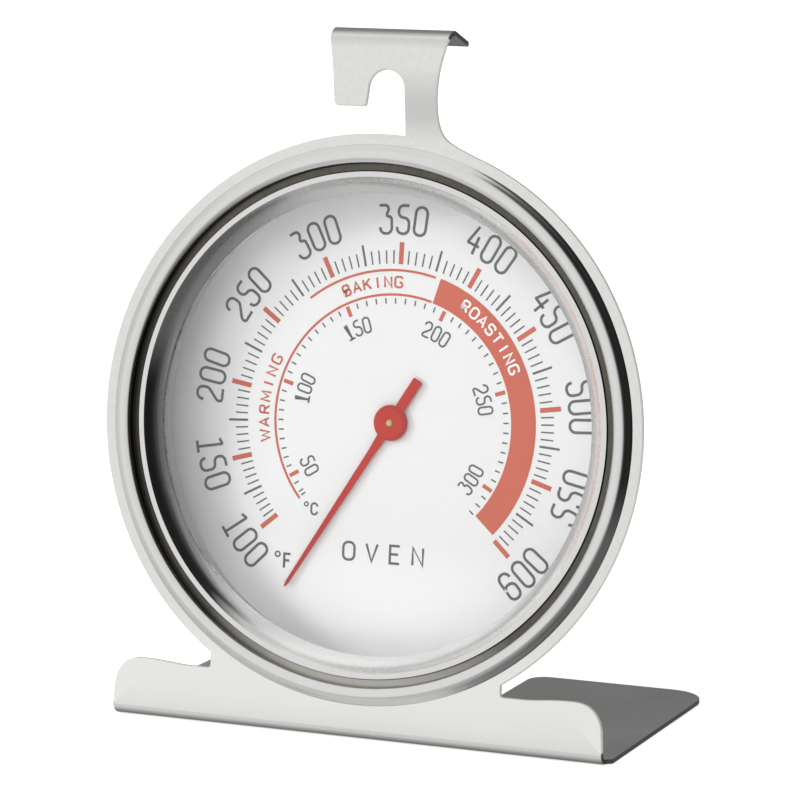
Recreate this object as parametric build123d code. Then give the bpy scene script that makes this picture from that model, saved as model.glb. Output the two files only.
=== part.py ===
from build123d import *
import os
from math import sin, cos, tan, radians, degrees, sqrt, pi, hypot

os.makedirs("parts", exist_ok=True)

# Oven dial thermometer: stamped stand and hanger sheet, round bimetal movement.
# Millimetres, +Z up, +Y to the rear, +X to the right seen from the front.
# Row frame: origin in the middle of the foot's underside, on the table plane.
# Plate frame: X right, Y back from the sheet's front face, Z up inside the sheet,
# origin at the dial centre. "Depth" is Y in the plate frame. All pieces are drawn there,
# except the frame's foot and foot bend, and place() carries them to the row frame.

# ---------------------------------------------------------------------------
# Sizes shared between pieces
# ---------------------------------------------------------------------------
# stand sheet
SHEET = 0.8             # sheet thickness
LEAN = 5.92             # the ring leans back this many degrees
LEAN_RAD = radians(LEAN)
CENTRE_H = 50.85        # dial centre, on the sheet's front face, over the table
FOOT_LEN = 51.3         # from the front corner to the rear edge
FRONT_Y = -FOOT_LEN / 2     # where the sheet's face and the table plane would meet
REAR_Y = FOOT_LEN / 2
CENTRE_Y = FRONT_Y + CENTRE_H * tan(LEAN_RAD)

# cup and the bezel hem that wraps its flange
CUP_T = 0.5
CUP_BACK_Y = 22.1                       # outer face of the back
CUP_INNER_Y = CUP_BACK_Y - CUP_T        # inner face of the back
REAR_BUSH_HOLE_R = 2.5
HEM_T = 0.40

# glass and dial depths
GLASS_Y0, GLASS_Y1 = 3.32, 5.12
DIAL_Y0, DIAL_T = 10.6, 0.5

# pointer and spindle
POINTER_Y, POINTER_T = 9.75, 0.3
NOSE_R = 0.62           # thin front end of the spindle, which carries the pointer
SPINDLE_R = 1.0
SHOULDER_R = 1.3        # thick middle of the spindle, which carries the collet
GROOVE_R = 0.7          # clip groove
GROOVE_Y0, GROOVE_Y1 = 19.90, 20.32
BUSH_BORE_R = SPINDLE_R + 0.03
WASHER_BORE_R = SPINDLE_R + 0.05

# bridge, its bush and its rivets
BRIDGE_T, BRIDGE_Y = 0.8, 11.95         # thickness, front face
BRIDGE_BACK_Y = BRIDGE_Y + BRIDGE_T
BRIDGE_FOOT_Y = CUP_INNER_Y - BRIDGE_T  # front face of the bridge feet
FRONT_BUSH_HOLE_R = 2.1
RIVET_X, RIVET_R = 22.3, 1.2

# bimetal coil and its anchor
COIL_T, COIL_Y0, COIL_Y1 = 0.35, 14.2, 17.2
COIL_R0, COIL_R1, COIL_TURNS = 2.62, 14.5, 4.75     # middle line radii, inner and outer
COIL_START = -2 * pi * COIL_TURNS       # angle of the inner end; the outer end is at 0
SLOT_Y = 13.9                           # front end of the slots in collet and post
POST_SPIGOT_R = 1.0
PIN_R, PIN_Y = 0.4, 17.75

STEEL = (0.80, 0.80, 0.79)
POLISHED = (0.88, 0.88, 0.87)
BRASS = (0.80, 0.62, 0.30)
GLASS = (0.85, 0.93, 0.95)
WHITE = (0.97, 0.97, 0.97)
RED = (0.82, 0.22, 0.18)
SPINDLE_GREY = (0.75, 0.75, 0.74)
WASHER_GREY = (0.72, 0.72, 0.70)
BIMETAL = (0.72, 0.66, 0.58)


# ---------------------------------------------------------------------------
# Helpers
# ---------------------------------------------------------------------------
def place(shape):
    """Plate frame to row frame."""
    return Pos(0, CENTRE_Y, CENTRE_H) * Rot(-LEAN, 0, 0) * shape


def turned(profile):
    """Solid of revolution about the dial axis from (radius, depth) points."""
    return revolve(make_face(Polyline(*profile, close=True)), Axis.Y, 360)


def disc(r0, r1, y0, y1):
    """Ring, or disc when r0 is 0, about the dial axis between two depths."""
    return turned([(r0, y0), (r1, y0), (r1, y1), (r0, y1)])


def depth_cylinder(x, z, radius, y0, y1):
    """Cylinder along the depth axis at (x, z)."""
    return Pos(x, (y0 + y1) / 2, z) * Rot(90, 0, 0) * Cylinder(radius, y1 - y0)


def slab(x0, x1, y0, y1, z0, z1):
    centre = Pos((x0 + x1) / 2, (y0 + y1) / 2, (z0 + z1) / 2)
    return centre * Box(x1 - x0, y1 - y0, z1 - z0)


def sheet_from(face, y0, y1):
    """Extrude an outline drawn as (x, z) from depth y0 to y1."""
    # the turn about X sends drawn (x, y, height) to (x, -height, y)
    return Pos(0, y1, 0) * Rot(90, 0, 0) * extrude(face, amount=y1 - y0)


def extrude_across(face, x0, x1):
    """Extrude a profile drawn as (y, z) from x0 to x1."""
    side = Plane(origin=(0, 0, 0), x_dir=(0, 1, 0), z_dir=(1, 0, 0))
    return Pos(x0, 0, 0) * side.location * extrude(face, amount=x1 - x0)


def arc_points(centre, radius, start, sweep):
    """Start, middle and end of an arc; angles in degrees, anticlockwise."""
    angles = [radians(start + sweep * part) for part in (0, 0.5, 1)]
    return [(centre[0] + radius * cos(a), centre[1] + radius * sin(a)) for a in angles]


def quarter_arc(start, end, centre):
    """Quarter circle between two points about a centre."""
    middle = [c + (s + e - 2 * c) / sqrt(2) for s, e, c in zip(start, end, centre)]
    return ThreePointArc(start, tuple(middle), end)


def rounded_face(corners):
    """Face from (x, y, radius) corners; radius 0 is sharp, rounded ones are square."""
    spots = [Vector(x, y) for x, y, _ in corners]
    joints = []
    for i, (spot, corner) in enumerate(zip(spots, corners)):
        back = (spots[i - 1] - spot).normalized() * corner[2]
        ahead = (spots[(i + 1) % len(spots)] - spot).normalized() * corner[2]
        middle = spot + (back + ahead) * (1 - 1 / sqrt(2))
        joints.append((spot + back, middle, spot + ahead))
    edges = []
    for i, (start, middle, end) in enumerate(joints):
        if corners[i][2] > 0:
            edges.append(ThreePointArc(start, middle, end))
        edges.append(Line(end, joints[(i + 1) % len(joints)][0]))
    return make_face(edges)


def save(name, shape, colour, count=1):
    """Write one piece, which must have the given number of solids."""
    solids = shape.solids()
    assert len(solids) == count, f"{name}: expected {count} solids, got {len(solids)}"
    piece = solids[0] if count == 1 else Compound(solids)
    piece.label = name
    piece.color = Color(*colour)
    export_step(piece, f"parts/{name}.step")


# ---------------------------------------------------------------------------
# Front frame: ring, hanger, panel and foot, stamped and folded from one sheet
# ---------------------------------------------------------------------------
RING_R = 47.0           # outer radius of the flat ring
COLLAR_R = 42.62        # inside radius of the drawn collar that grips the cup
COLLAR_Y = 4.2          # rear end of the collar
COLLAR_OVERLAP = 0.2    # collar blank runs this far into the opening and the sheet

FOOT_X = -0.5           # foot and panel sit this far off the ring's middle
BEND_R = 2.0            # outside radius of the foot bend
BEND_LEN = BEND_R * (1 + sin(LEAN_RAD)) / cos(LEAN_RAD)     # its tangent length
BEND_END_Y = FRONT_Y + BEND_LEN         # where the bend meets the flat foot
PANEL_W = 43.0          # half width of the panel under the ring
BEND_W = PANEL_W + 0.2  # half width at the foot bend
PANEL_END_Z = -CENTRE_H / cos(LEAN_RAD) + BEND_LEN  # where the flat panel stops

NECK_W = 25.6           # half width of the neck between ring and panel
NECK_X = 29.4           # where the ear runs level into the neck's base line
NECK_Z = -41.65
NECK_TOP_Z = -30.0      # inside the ring
EAR_X, EAR_Z = 37.8, -41.15             # top of the ear
EAR_SIDE_Z = -46.3      # lower end of the ear's curved side

FOOT_W = 44.2           # half width of the foot
FOOT_CORNER = 6.5
FOOT_FLARE_LEN = 0.7    # length over which the foot widens from the bend
NOTCH_W = 12.3          # half width of the foot's rear notch
NOTCH_Y = 4.4           # front end of that notch
NOTCH_CORNER = 6.0
NOTCH_MOUTH_R = 3.2

HOOK_LEFT, HOOK_RIGHT, HOOK_TOP = -9.3, 11.0, 63.9
LIP_R = 2.0             # outside radius of the folded lip
LIP_DOWN = 14.5         # slope of the lip's tail, degrees
LIP_TAIL = 5.9
LIP_FLARE = 0.6         # the right edge widens by this much through the lip bend
HOOK_BEND_Z = HOOK_TOP - LIP_R          # where the flat hanger stops
RACK_R, RACK_X, RACK_Z = 3.1, 0.85, 54.2    # rack notch
PRONG_Z = 51.3          # bottom edge of the prong
PRONG_LEFT, PRONG_RIGHT = -8.2, -2.6
PRONG_R_LEFT, PRONG_R_RIGHT = 0.8, 0.5
STEM_X = 17.8           # where the hanger's right side leaves the ring


def panel_half():
    """Right half of the panel with its neck and rounded ear."""
    ear = Spline(
        (PANEL_W, EAR_SIDE_Z), (PANEL_W - 0.62, -43.6), (PANEL_W - 2.3, -41.75),
        (EAR_X, EAR_Z), tangents=((0, 1), (-1, 0)),
    )
    ear_top = Spline(
        (EAR_X, EAR_Z), (33.6, EAR_Z - 0.2), (NECK_X, NECK_Z), tangents=((-1, 0), (-1, 0)),
    )
    return make_face([
        Polyline((0, PANEL_END_Z), (BEND_W, PANEL_END_Z), (PANEL_W, EAR_SIDE_Z)),
        ear,
        ear_top,
        Polyline((NECK_X, NECK_Z), (NECK_W, NECK_Z), (NECK_W, NECK_TOP_Z), (0, NECK_TOP_Z),
                 (0, PANEL_END_Z)),
    ])


def hanger_outline():
    """Hanger stem, half-round rack notch and prong, drawn as (x, z)."""
    notch_left = (RACK_X - RACK_R, RACK_Z)
    notch_right = (RACK_X + RACK_R, RACK_Z)
    prong_left = (PRONG_LEFT, PRONG_Z + PRONG_R_LEFT)
    prong_right = (PRONG_RIGHT, PRONG_Z + PRONG_R_RIGHT)
    prong_bottom_left = (PRONG_LEFT + PRONG_R_LEFT, PRONG_Z)
    prong_bottom_right = (PRONG_RIGHT - PRONG_R_RIGHT, PRONG_Z)
    stem_foot = (STEM_X, sqrt(RING_R**2 - STEM_X**2) - 0.02)
    return make_face([
        Spline((HOOK_LEFT, HOOK_BEND_Z), (-8.85, 59.0), (-8.5, 55.6), prong_left,
               tangents=((0.13, -1), (0.07, -1))),
        quarter_arc(prong_left, prong_bottom_left, (prong_bottom_left[0], prong_left[1])),
        Line(prong_bottom_left, prong_bottom_right),
        quarter_arc(prong_bottom_right, prong_right, (prong_bottom_right[0], prong_right[1])),
        Line(prong_right, notch_left),
        ThreePointArc(notch_left, (RACK_X, RACK_Z + RACK_R), notch_right),
        # the lower end lies inside the ring
        Polyline(notch_right, (4.7, 44.0), (STEM_X, 41.0), stem_foot),
        Spline(stem_foot, (13.9, 45.15), (11.2, 46.9), (9.85, 50.2), (9.55, 54.2),
               (9.95, 58.0), (HOOK_RIGHT, HOOK_BEND_Z), tangents=((-1.0, 0.40), (0.3, 1.0))),
        Line((HOOK_RIGHT, HOOK_BEND_Z), (HOOK_LEFT, HOOK_BEND_Z)),
    ])


def hanger_lip():
    """Lip folded to the rear along the hanger's top, its right edge flared."""
    centre, sweep = (LIP_R, HOOK_BEND_Z), -(90 + LIP_DOWN)
    outer = arc_points(centre, LIP_R, 180, sweep)
    inner = arc_points(centre, LIP_R - SHEET, 180, sweep)
    slope = radians(LIP_DOWN)
    tail_outer, tail_inner = [
        (y + cos(slope) * LIP_TAIL, z - sin(slope) * LIP_TAIL) for y, z in (outer[2], inner[2])
    ]
    profile = make_face([
        ThreePointArc(*outer),
        Polyline(outer[2], tail_outer, tail_inner, inner[2]),
        ThreePointArc(*reversed(inner)),
        Line(inner[0], outer[0]),
    ])
    flare_x = HOOK_RIGHT + LIP_FLARE
    lip = extrude_across(profile, HOOK_LEFT, flare_x)
    flare_cut = make_face(Polyline(
        (HOOK_RIGHT, HOOK_BEND_Z - 0.5), (HOOK_RIGHT, HOOK_BEND_Z), (flare_x, HOOK_TOP),
        (flare_x, HOOK_TOP + 1), (HOOK_RIGHT + 5, HOOK_TOP + 1),
        (HOOK_RIGHT + 5, HOOK_BEND_Z - 0.5), close=True))
    return lip - sheet_from(flare_cut, -1.0, LIP_R)


def foot_bend():
    """Bend from the leaning panel to the foot, in the row frame."""
    centre, start, sweep = (BEND_END_Y, BEND_R), 180 - LEAN, 90 + LEAN
    outer = arc_points(centre, BEND_R, start, sweep)
    inner = arc_points(centre, BEND_R - SHEET, start, sweep)
    profile = make_face([
        ThreePointArc(*outer),
        Line(outer[2], inner[2]),
        ThreePointArc(*reversed(inner)),
        Line(inner[0], outer[0]),
    ])
    return extrude_across(profile, FOOT_X - BEND_W, FOOT_X + BEND_W)


def foot():
    """Flat foot with rounded rear corners and a wide rear notch, in the row frame."""
    half = extrude(rounded_face([       # x, y, corner radius
        (0, BEND_END_Y, 0),
        (BEND_W, BEND_END_Y, 0),
        (FOOT_W, BEND_END_Y + FOOT_FLARE_LEN, 0),
        (FOOT_W, REAR_Y, FOOT_CORNER),
        (NOTCH_W, REAR_Y, NOTCH_MOUTH_R),
        (NOTCH_W, NOTCH_Y, NOTCH_CORNER),
        (0, NOTCH_Y, 0),
    ]), amount=SHEET)
    return Pos(FOOT_X, 0, 0) * (half + mirror(half, Plane.YZ))


def front_frame():
    """The whole frame, in the row frame."""
    plate = sheet_from(make_face(Circle(RING_R).edges()), 0, SHEET)
    right = panel_half()
    for half in (right, mirror(right, Plane.YZ)):
        plate += Pos(FOOT_X, 0, 0) * sheet_from(half, 0, SHEET)
    plate += sheet_from(hanger_outline(), 0, SHEET)
    plate += hanger_lip()
    # the collar goes on before the opening is cut through everything
    plate += disc(COLLAR_R - COLLAR_OVERLAP, COLLAR_R + SHEET, SHEET - COLLAR_OVERLAP, COLLAR_Y)
    plate -= disc(0, COLLAR_R, -1.0, COLLAR_Y + 1.0)
    return place(plate) + foot_bend() + foot()


# ---------------------------------------------------------------------------
# Bezel: polished rolled bead whose conical lip holds the glass from the front
# ---------------------------------------------------------------------------
BEZEL_T = 0.45
RIM_R = 45.35
RIM_CORNER = 0.22
HEM_INNER_R = 43.2
HEM_FOLD_R = 44.82      # where the fold meets the hem's front face

# radius, depth along the visible face
BEAD = [
    (RIM_R, -RIM_CORNER), (45.15, -0.66), (44.6, -1.30), (43.95, -1.72), (43.2, -1.92),
    (42.55, -1.80), (42.05, -1.42), (41.62, -0.80), (41.35, -0.22),
]
BEZEL_LIP = [(41.10, 0.08), (40.35, 0.12), (37.60, 2.95)]   # wall foot, ledge, cone edge
BEZEL_FOLD = [(44.90, -0.50), (44.74, -0.66)]   # hidden face where bead turns into hem


def offset_chain(points, distance):
    """Offset an open chain of points to its hidden side."""
    moved = []
    for i, (x, y) in enumerate(points):
        x0, y0 = points[max(i - 1, 0)]
        x1, y1 = points[min(i + 1, len(points) - 1)]
        step = distance / hypot(x1 - x0, y1 - y0)
        moved.append((x + (y1 - y0) * step, y - (x1 - x0) * step))
    return moved


def bezel_ring():
    hidden = BEZEL_FOLD + offset_chain(BEAD + BEZEL_LIP, BEZEL_T)[len(BEZEL_FOLD):]
    rim_x = RIM_R - RIM_CORNER
    return revolve(make_face([
        Spline(*BEAD),
        Polyline(BEAD[-1], *BEZEL_LIP),
        Line(BEZEL_LIP[-1], hidden[-1]),
        Polyline(*reversed(hidden[len(BEAD) - 1:])),
        Spline(*hidden[:len(BEAD)]),
        Polyline(hidden[0], (HEM_FOLD_R, -HEM_T), (HEM_INNER_R, -HEM_T), (HEM_INNER_R, 0),
                 (rim_x, 0)),
        quarter_arc((rim_x, 0), (RIM_R, -RIM_CORNER), (rim_x, -RIM_CORNER)),
    ]), Axis.Y, 360)


# ---------------------------------------------------------------------------
# Cup: drawn case, flanged at the front, stepped to carry the dial
# ---------------------------------------------------------------------------
CUP_R = 42.6            # outer radius of the front section
CUP_REAR_R = 38.1       # outer radius of the rear section
CUP_STEP_Y = DIAL_Y0 + DIAL_T           # ledge that carries the dial
CUP_CORNER = 2.5        # outside radius of the back's corner
STEP_FILLET = 0.5
FLANGE_R, FLANGE_Y = 43.9, -0.87
FLANGE_FILLET = 0.6
VENT_R, VENT_PITCH_R, VENT_COUNT = 2.2, 27.0, 8


def case_cup():
    front_inner_r = CUP_R - CUP_T
    rear_inner_r = CUP_REAR_R - CUP_T
    flange_back_y = -HEM_T - 0.02
    step_back_y = CUP_STEP_Y + CUP_T
    cup = revolve(rounded_face([        # radius, depth, corner radius
        (front_inner_r, FLANGE_Y, FLANGE_FILLET),
        (FLANGE_R, FLANGE_Y, 0),
        (FLANGE_R, flange_back_y, 0),
        (CUP_R, flange_back_y, 0),
        (CUP_R, step_back_y, CUP_T),
        (CUP_REAR_R, step_back_y, STEP_FILLET),
        (CUP_REAR_R, CUP_BACK_Y, CUP_CORNER),
        (0, CUP_BACK_Y, 0),
        (0, CUP_INNER_Y, 0),
        (rear_inner_r, CUP_INNER_Y, CUP_CORNER - CUP_T),
        (rear_inner_r, CUP_STEP_Y, 0),
        (front_inner_r, CUP_STEP_Y, 0),
    ]), Axis.Y, 360)

    holes = []                          # x, z, radius
    for k in range(VENT_COUNT):
        angle = 2 * pi * (k + 0.5) / VENT_COUNT
        holes.append((VENT_PITCH_R * sin(angle), VENT_PITCH_R * cos(angle), VENT_R))
    holes.append((0, 0, REAR_BUSH_HOLE_R))
    holes += [(side * RIVET_X, 0, RIVET_R) for side in (-1, 1)]
    for x, z, radius in holes:
        cup -= depth_cylinder(x, z, radius, CUP_BACK_Y - 2, CUP_BACK_Y + 2)
    return cup


# ---------------------------------------------------------------------------
# Glass, spacer, dial
# ---------------------------------------------------------------------------
GLASS_R, GLASS_CHAMFER = 41.7, 0.25
SPACER_INNER_R, SPACER_OUTER_R, SPACER_T = 40.0, 41.9, 0.5
DIAL_R, DIAL_HOLE_R = 41.8, 2.2


def glass_lens():
    flat_r = GLASS_R - GLASS_CHAMFER
    return turned([
        (0, GLASS_Y0), (flat_r, GLASS_Y0), (GLASS_R, GLASS_Y0 + GLASS_CHAMFER),
        (GLASS_R, GLASS_Y1 - GLASS_CHAMFER), (flat_r, GLASS_Y1), (0, GLASS_Y1),
    ])


def spacer_ring():
    """Channel section, open outwards, between glass and dial."""
    y0, y1 = GLASS_Y1, DIAL_Y0
    web_r = SPACER_INNER_R + SPACER_T
    return turned([
        (SPACER_INNER_R, y0), (SPACER_OUTER_R, y0), (SPACER_OUTER_R, y0 + SPACER_T),
        (web_r, y0 + SPACER_T), (web_r, y1 - SPACER_T), (SPACER_OUTER_R, y1 - SPACER_T),
        (SPACER_OUTER_R, y1), (SPACER_INNER_R, y1),
    ])


# ---------------------------------------------------------------------------
# Pointer: tapered blade, short tail and hub disc in one stamping
# ---------------------------------------------------------------------------
POINTER_ANGLE = -147.9  # clockwise from the top, seen from the front
POINTER_TIP, POINTER_TAIL = 33.5, 8.6
POINTER_HUB_R = 2.95
BLADE_HALF_W = 0.86     # at the hub and tail

# distance towards the tip, half width
BLADE_SIDE = [
    (POINTER_TIP - 0.9, 0.28), (6.0, 0.62), (1.5, BLADE_HALF_W), (-1.5, BLADE_HALF_W),
    (-POINTER_TAIL + 0.4, BLADE_HALF_W), (-POINTER_TAIL, 0.5),
]


def pointer():
    angle = radians(POINTER_ANGLE)
    outline = [(POINTER_TIP, 0.0)] + BLADE_SIDE + [(u, -v) for u, v in reversed(BLADE_SIDE)]
    blade = make_face(Polyline(
        *[(sin(angle) * u + cos(angle) * v, cos(angle) * u - sin(angle) * v)
          for u, v in outline], close=True))
    body = sheet_from(blade, POINTER_Y, POINTER_Y + POINTER_T)
    body += disc(0, POINTER_HUB_R, POINTER_Y, POINTER_Y + POINTER_T)
    # the hub is raised forward, so it stands proud of the blade
    body += turned([
        (0, POINTER_Y - 0.42), (POINTER_HUB_R - 0.75, POINTER_Y - 0.42),
        (POINTER_HUB_R - 0.28, POINTER_Y - 0.30), (POINTER_HUB_R, POINTER_Y),
        (POINTER_HUB_R, POINTER_Y + 0.1), (0, POINTER_Y + 0.1),
    ])
    return body - depth_cylinder(0, 0, NOSE_R, POINTER_Y - 2, POINTER_Y + 2)


# ---------------------------------------------------------------------------
# Spindle and its front bearing
# ---------------------------------------------------------------------------
SPINDLE_FRONT_Y = POINTER_Y - 0.62
NOSE_END_Y = 11.05
SHOULDER_Y0, SHOULDER_Y1 = 13.40, 18.0
SPINDLE_END_Y = 22.35
POINTER_BUSH_R, POINTER_BUSH_END_Y = 1.75, 11.0


def spindle():
    return turned([
        (0, SPINDLE_FRONT_Y), (0.46, SPINDLE_FRONT_Y), (NOSE_R, SPINDLE_FRONT_Y + 0.14),
        (NOSE_R, NOSE_END_Y), (SPINDLE_R, NOSE_END_Y),
        (SPINDLE_R, SHOULDER_Y0), (SHOULDER_R, SHOULDER_Y0),
        (SHOULDER_R, SHOULDER_Y1), (SPINDLE_R, SHOULDER_Y1),
        (SPINDLE_R, GROOVE_Y0), (GROOVE_R, GROOVE_Y0), (GROOVE_R, GROOVE_Y1),
        (SPINDLE_R, GROOVE_Y1), (SPINDLE_R, SPINDLE_END_Y - 0.25),
        (SPINDLE_R - 0.25, SPINDLE_END_Y), (0, SPINDLE_END_Y),
    ])


def front_bush():
    """Flanged in front of the bridge, flared behind it."""
    front_y, flange_r, back_y = 11.28, 3.1, 13.30
    return turned([
        (BUSH_BORE_R, front_y), (flange_r, front_y), (flange_r, BRIDGE_Y),
        (FRONT_BUSH_HOLE_R, BRIDGE_Y), (FRONT_BUSH_HOLE_R, BRIDGE_BACK_Y),
        (2.45, BRIDGE_BACK_Y), (2.3, back_y), (BUSH_BORE_R, back_y),
    ])


# ---------------------------------------------------------------------------
# Bridge and the two rivets that fix it to the cup
# ---------------------------------------------------------------------------
BRIDGE_X = 18.0         # inner face of each leg
BRIDGE_HALF_W = 5.5
BRIDGE_FOOT_X = 26.0    # outer end of each foot
BRIDGE_FOOT_CORNER = 2.2
RIVET_HEAD_R = 2.2


def movement_bridge():
    leg_x = BRIDGE_X + BRIDGE_T
    half = [                            # x, depth
        (leg_x, BRIDGE_Y), (leg_x, BRIDGE_FOOT_Y), (BRIDGE_FOOT_X, BRIDGE_FOOT_Y),
        (BRIDGE_FOOT_X, CUP_INNER_Y), (BRIDGE_X, CUP_INNER_Y), (BRIDGE_X, BRIDGE_BACK_Y),
    ]
    section = Polyline(*half, *[(-x, y) for x, y in reversed(half)], close=True)
    bridge = extrude(make_face(section), amount=2 * BRIDGE_HALF_W)
    bridge = Pos(0, 0, -BRIDGE_HALF_W) * bridge
    foot_corners = [e for e in bridge.edges().filter_by(Axis.Y)
                    if abs(abs(e.center().X) - BRIDGE_FOOT_X) < 0.01]
    bridge = fillet(foot_corners, BRIDGE_FOOT_CORNER)
    for x, radius in ((0, FRONT_BUSH_HOLE_R), (COIL_R1, POST_SPIGOT_R)):
        bridge -= depth_cylinder(x, 0, radius, BRIDGE_Y - 2, BRIDGE_Y + 2)
    for side in (-1, 1):
        bridge -= depth_cylinder(side * RIVET_X, 0, RIVET_R, CUP_INNER_Y - 3, CUP_INNER_Y + 1)
    return bridge


def bridge_rivets():
    """Two rivets, domed heads outside the cup."""
    body = turned([
        (0, BRIDGE_FOOT_Y - 0.55), (1.35, BRIDGE_FOOT_Y - 0.50), (1.75, BRIDGE_FOOT_Y),
        (RIVET_R, BRIDGE_FOOT_Y), (RIVET_R, CUP_BACK_Y), (RIVET_HEAD_R, CUP_BACK_Y),
        (RIVET_HEAD_R * 0.93, CUP_BACK_Y + 0.42), (RIVET_HEAD_R * 0.68, CUP_BACK_Y + 0.80),
        (RIVET_HEAD_R * 0.36, CUP_BACK_Y + 0.98), (0, CUP_BACK_Y + 1.05),
    ])
    return Compound([(Pos(side * RIVET_X, 0, 0) * body).solids()[0] for side in (-1, 1)])


# ---------------------------------------------------------------------------
# Bimetal coil, collet on the spindle, slotted anchor post and its pin
# ---------------------------------------------------------------------------
COIL_STEPS = 170
COIL_SKIP = 2           # first points left out, where the inner hook's corner is
COIL_TAIL = 2.3         # straight outer end
HOOK_END_R = 1.55       # inner end of the hook
COLLET_R, COLLET_Y0, COLLET_Y1 = 2.4, 13.60, 17.80
POST_R, POST_END_Y = 1.7, 18.4
POST_SLOT_HALF_W = 0.33


def spiral(offset):
    """Points along the coil, moved off its middle line by a radial offset."""
    points = []
    for i in range(COIL_SKIP, COIL_STEPS + 1):
        part = i / COIL_STEPS
        angle = COIL_START * (1 - part)
        radius = COIL_R0 + (COIL_R1 - COIL_R0) * part + offset
        points.append((radius * cos(angle), radius * sin(angle)))
    return points


def hook_point(radius, shift):
    """Point on the inner hook: radius, and shift square to it."""
    c, s = cos(COIL_START), sin(COIL_START)
    return (c * radius - s * shift, s * radius + c * shift)


def bimetal_coil():
    half_t = COIL_T / 2
    outer, inner = spiral(half_t), spiral(-half_t)
    # direction of travel at the outer end
    run_x, run_z = (COIL_R1 - COIL_R0) / (2 * pi * COIL_TURNS), COIL_R1
    stretch = COIL_TAIL / hypot(run_x, run_z)
    tail_outer, tail_inner = [
        (x + run_x * stretch, z + run_z * stretch) for x, z in (outer[-1], inner[-1])
    ]
    hook_outer = hook_point(HOOK_END_R, -half_t)
    face = make_face([
        Polyline(hook_outer, hook_point(COIL_R0 + half_t, -half_t), outer[0]),
        Spline(*outer),
        Polyline(outer[-1], tail_outer, tail_inner, inner[-1]),
        Spline(*reversed(inner)),
        Polyline(inner[0], hook_point(COIL_R0 - half_t, half_t),
                 hook_point(HOOK_END_R, half_t), hook_outer),
    ])
    return sheet_from(face, COIL_Y0, COIL_Y1)


def coil_collet():
    """Collar on the spindle's shoulder, slotted for the coil's hook."""
    slot_half_w = COIL_T / 2 + 0.06
    slot = slab(1.0, 3.5, SLOT_Y, 18.5, -slot_half_w, slot_half_w)
    collet = disc(SHOULDER_R, COLLET_R, COLLET_Y0, COLLET_Y1)
    return collet - Rot(0, -degrees(COIL_START), 0) * slot


def cross_pin(length):
    """Pin along X through the anchor post."""
    return Pos(COIL_R1, PIN_Y, 0) * Rot(0, 90, 0) * Cylinder(PIN_R, length)


def coil_anchor_post():
    post = depth_cylinder(COIL_R1, 0, POST_R, BRIDGE_BACK_Y, POST_END_Y)
    post += depth_cylinder(COIL_R1, 0, POST_SPIGOT_R, BRIDGE_Y - 0.25, BRIDGE_BACK_Y + 0.1)
    post -= slab(COIL_R1 - POST_SLOT_HALF_W, COIL_R1 + POST_SLOT_HALF_W, SLOT_Y, 20, -3, 3)
    return post - cross_pin(6)


# ---------------------------------------------------------------------------
# Retaining clip and rear bearing
# ---------------------------------------------------------------------------
CLIP_R, CLIP_GAP = 2.1, 0.04            # outer radius, end play in the groove
CLIP_MOUTH_HALF_W = 0.55
CLIP_HOLE_R, CLIP_HOLE_PITCH_R = 0.5, 1.75


def retaining_clip():
    """Ring with a mouth towards +X and two round cuts."""
    clip = disc(GROOVE_R, CLIP_R, GROOVE_Y0 + CLIP_GAP, GROOVE_Y1 - CLIP_GAP)
    clip -= slab(0, 3, 19, 21, -CLIP_MOUTH_HALF_W, CLIP_MOUTH_HALF_W)
    for angle in (120, 240):
        hole = depth_cylinder(CLIP_HOLE_PITCH_R, 0, CLIP_HOLE_R, 18.6, 21.6)
        clip -= Rot(0, angle, 0) * hole
    return clip


def rear_bush():
    """Flanged inside the cup's back, with a closed cap outside it."""
    front_y, flange_r = 20.76, 4.0
    cap_y0, cap_y1 = CUP_BACK_Y + 0.32, CUP_BACK_Y + 0.5
    return turned([
        (BUSH_BORE_R, front_y), (flange_r, front_y), (flange_r, CUP_INNER_Y),
        (REAR_BUSH_HOLE_R, CUP_INNER_Y), (REAR_BUSH_HOLE_R, CUP_BACK_Y), (3.0, CUP_BACK_Y),
        (2.7, cap_y1), (0, cap_y1), (0, cap_y0), (BUSH_BORE_R, cap_y0),
    ])


# ---------------------------------------------------------------------------
# Write the pieces
# ---------------------------------------------------------------------------
save("front_frame", front_frame(), STEEL)
save("bridge_rivets", place(bridge_rivets()), STEEL, count=2)

POINTER_BUSH_Y = POINTER_Y + POINTER_T
for name, shape, colour in (
    ("bezel_ring", bezel_ring(), POLISHED),
    ("case_cup", case_cup(), STEEL),
    ("glass_lens", glass_lens(), GLASS),
    ("spacer_ring", spacer_ring(), STEEL),
    ("dial_plate", disc(DIAL_HOLE_R, DIAL_R, DIAL_Y0, CUP_STEP_Y), WHITE),
    ("pointer", pointer(), RED),
    ("pointer_hub", disc(NOSE_R, POINTER_BUSH_R, POINTER_BUSH_Y, POINTER_BUSH_END_Y), BRASS),
    ("spindle", spindle(), SPINDLE_GREY),
    ("front_bush", front_bush(), BRASS),
    ("front_thrust_washer", disc(WASHER_BORE_R, 1.7, 11.08, 11.26), WASHER_GREY),
    ("movement_bridge", movement_bridge(), STEEL),
    ("bimetal_coil", bimetal_coil(), BIMETAL),
    ("coil_collet", coil_collet(), BRASS),
    ("coil_anchor_post", coil_anchor_post(), BRASS),
    ("anchor_pin", cross_pin(4.4), STEEL),
    ("retaining_clip", retaining_clip(), STEEL),
    ("rear_thrust_washer", disc(WASHER_BORE_R, 2.3, 20.42, 20.70), WASHER_GREY),
    ("rear_bush", rear_bush(), BRASS),
):
    save(name, place(shape), colour)
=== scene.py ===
"""Oven dial thermometer: the looks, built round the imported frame.

Shapes are drawn in millimetres in the "plate frame": X right, Y back from the sheet's front face, Z up in the sheet,
origin at the dial centre. W() leans and lifts them into the row frame, in metres.
"""

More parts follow.
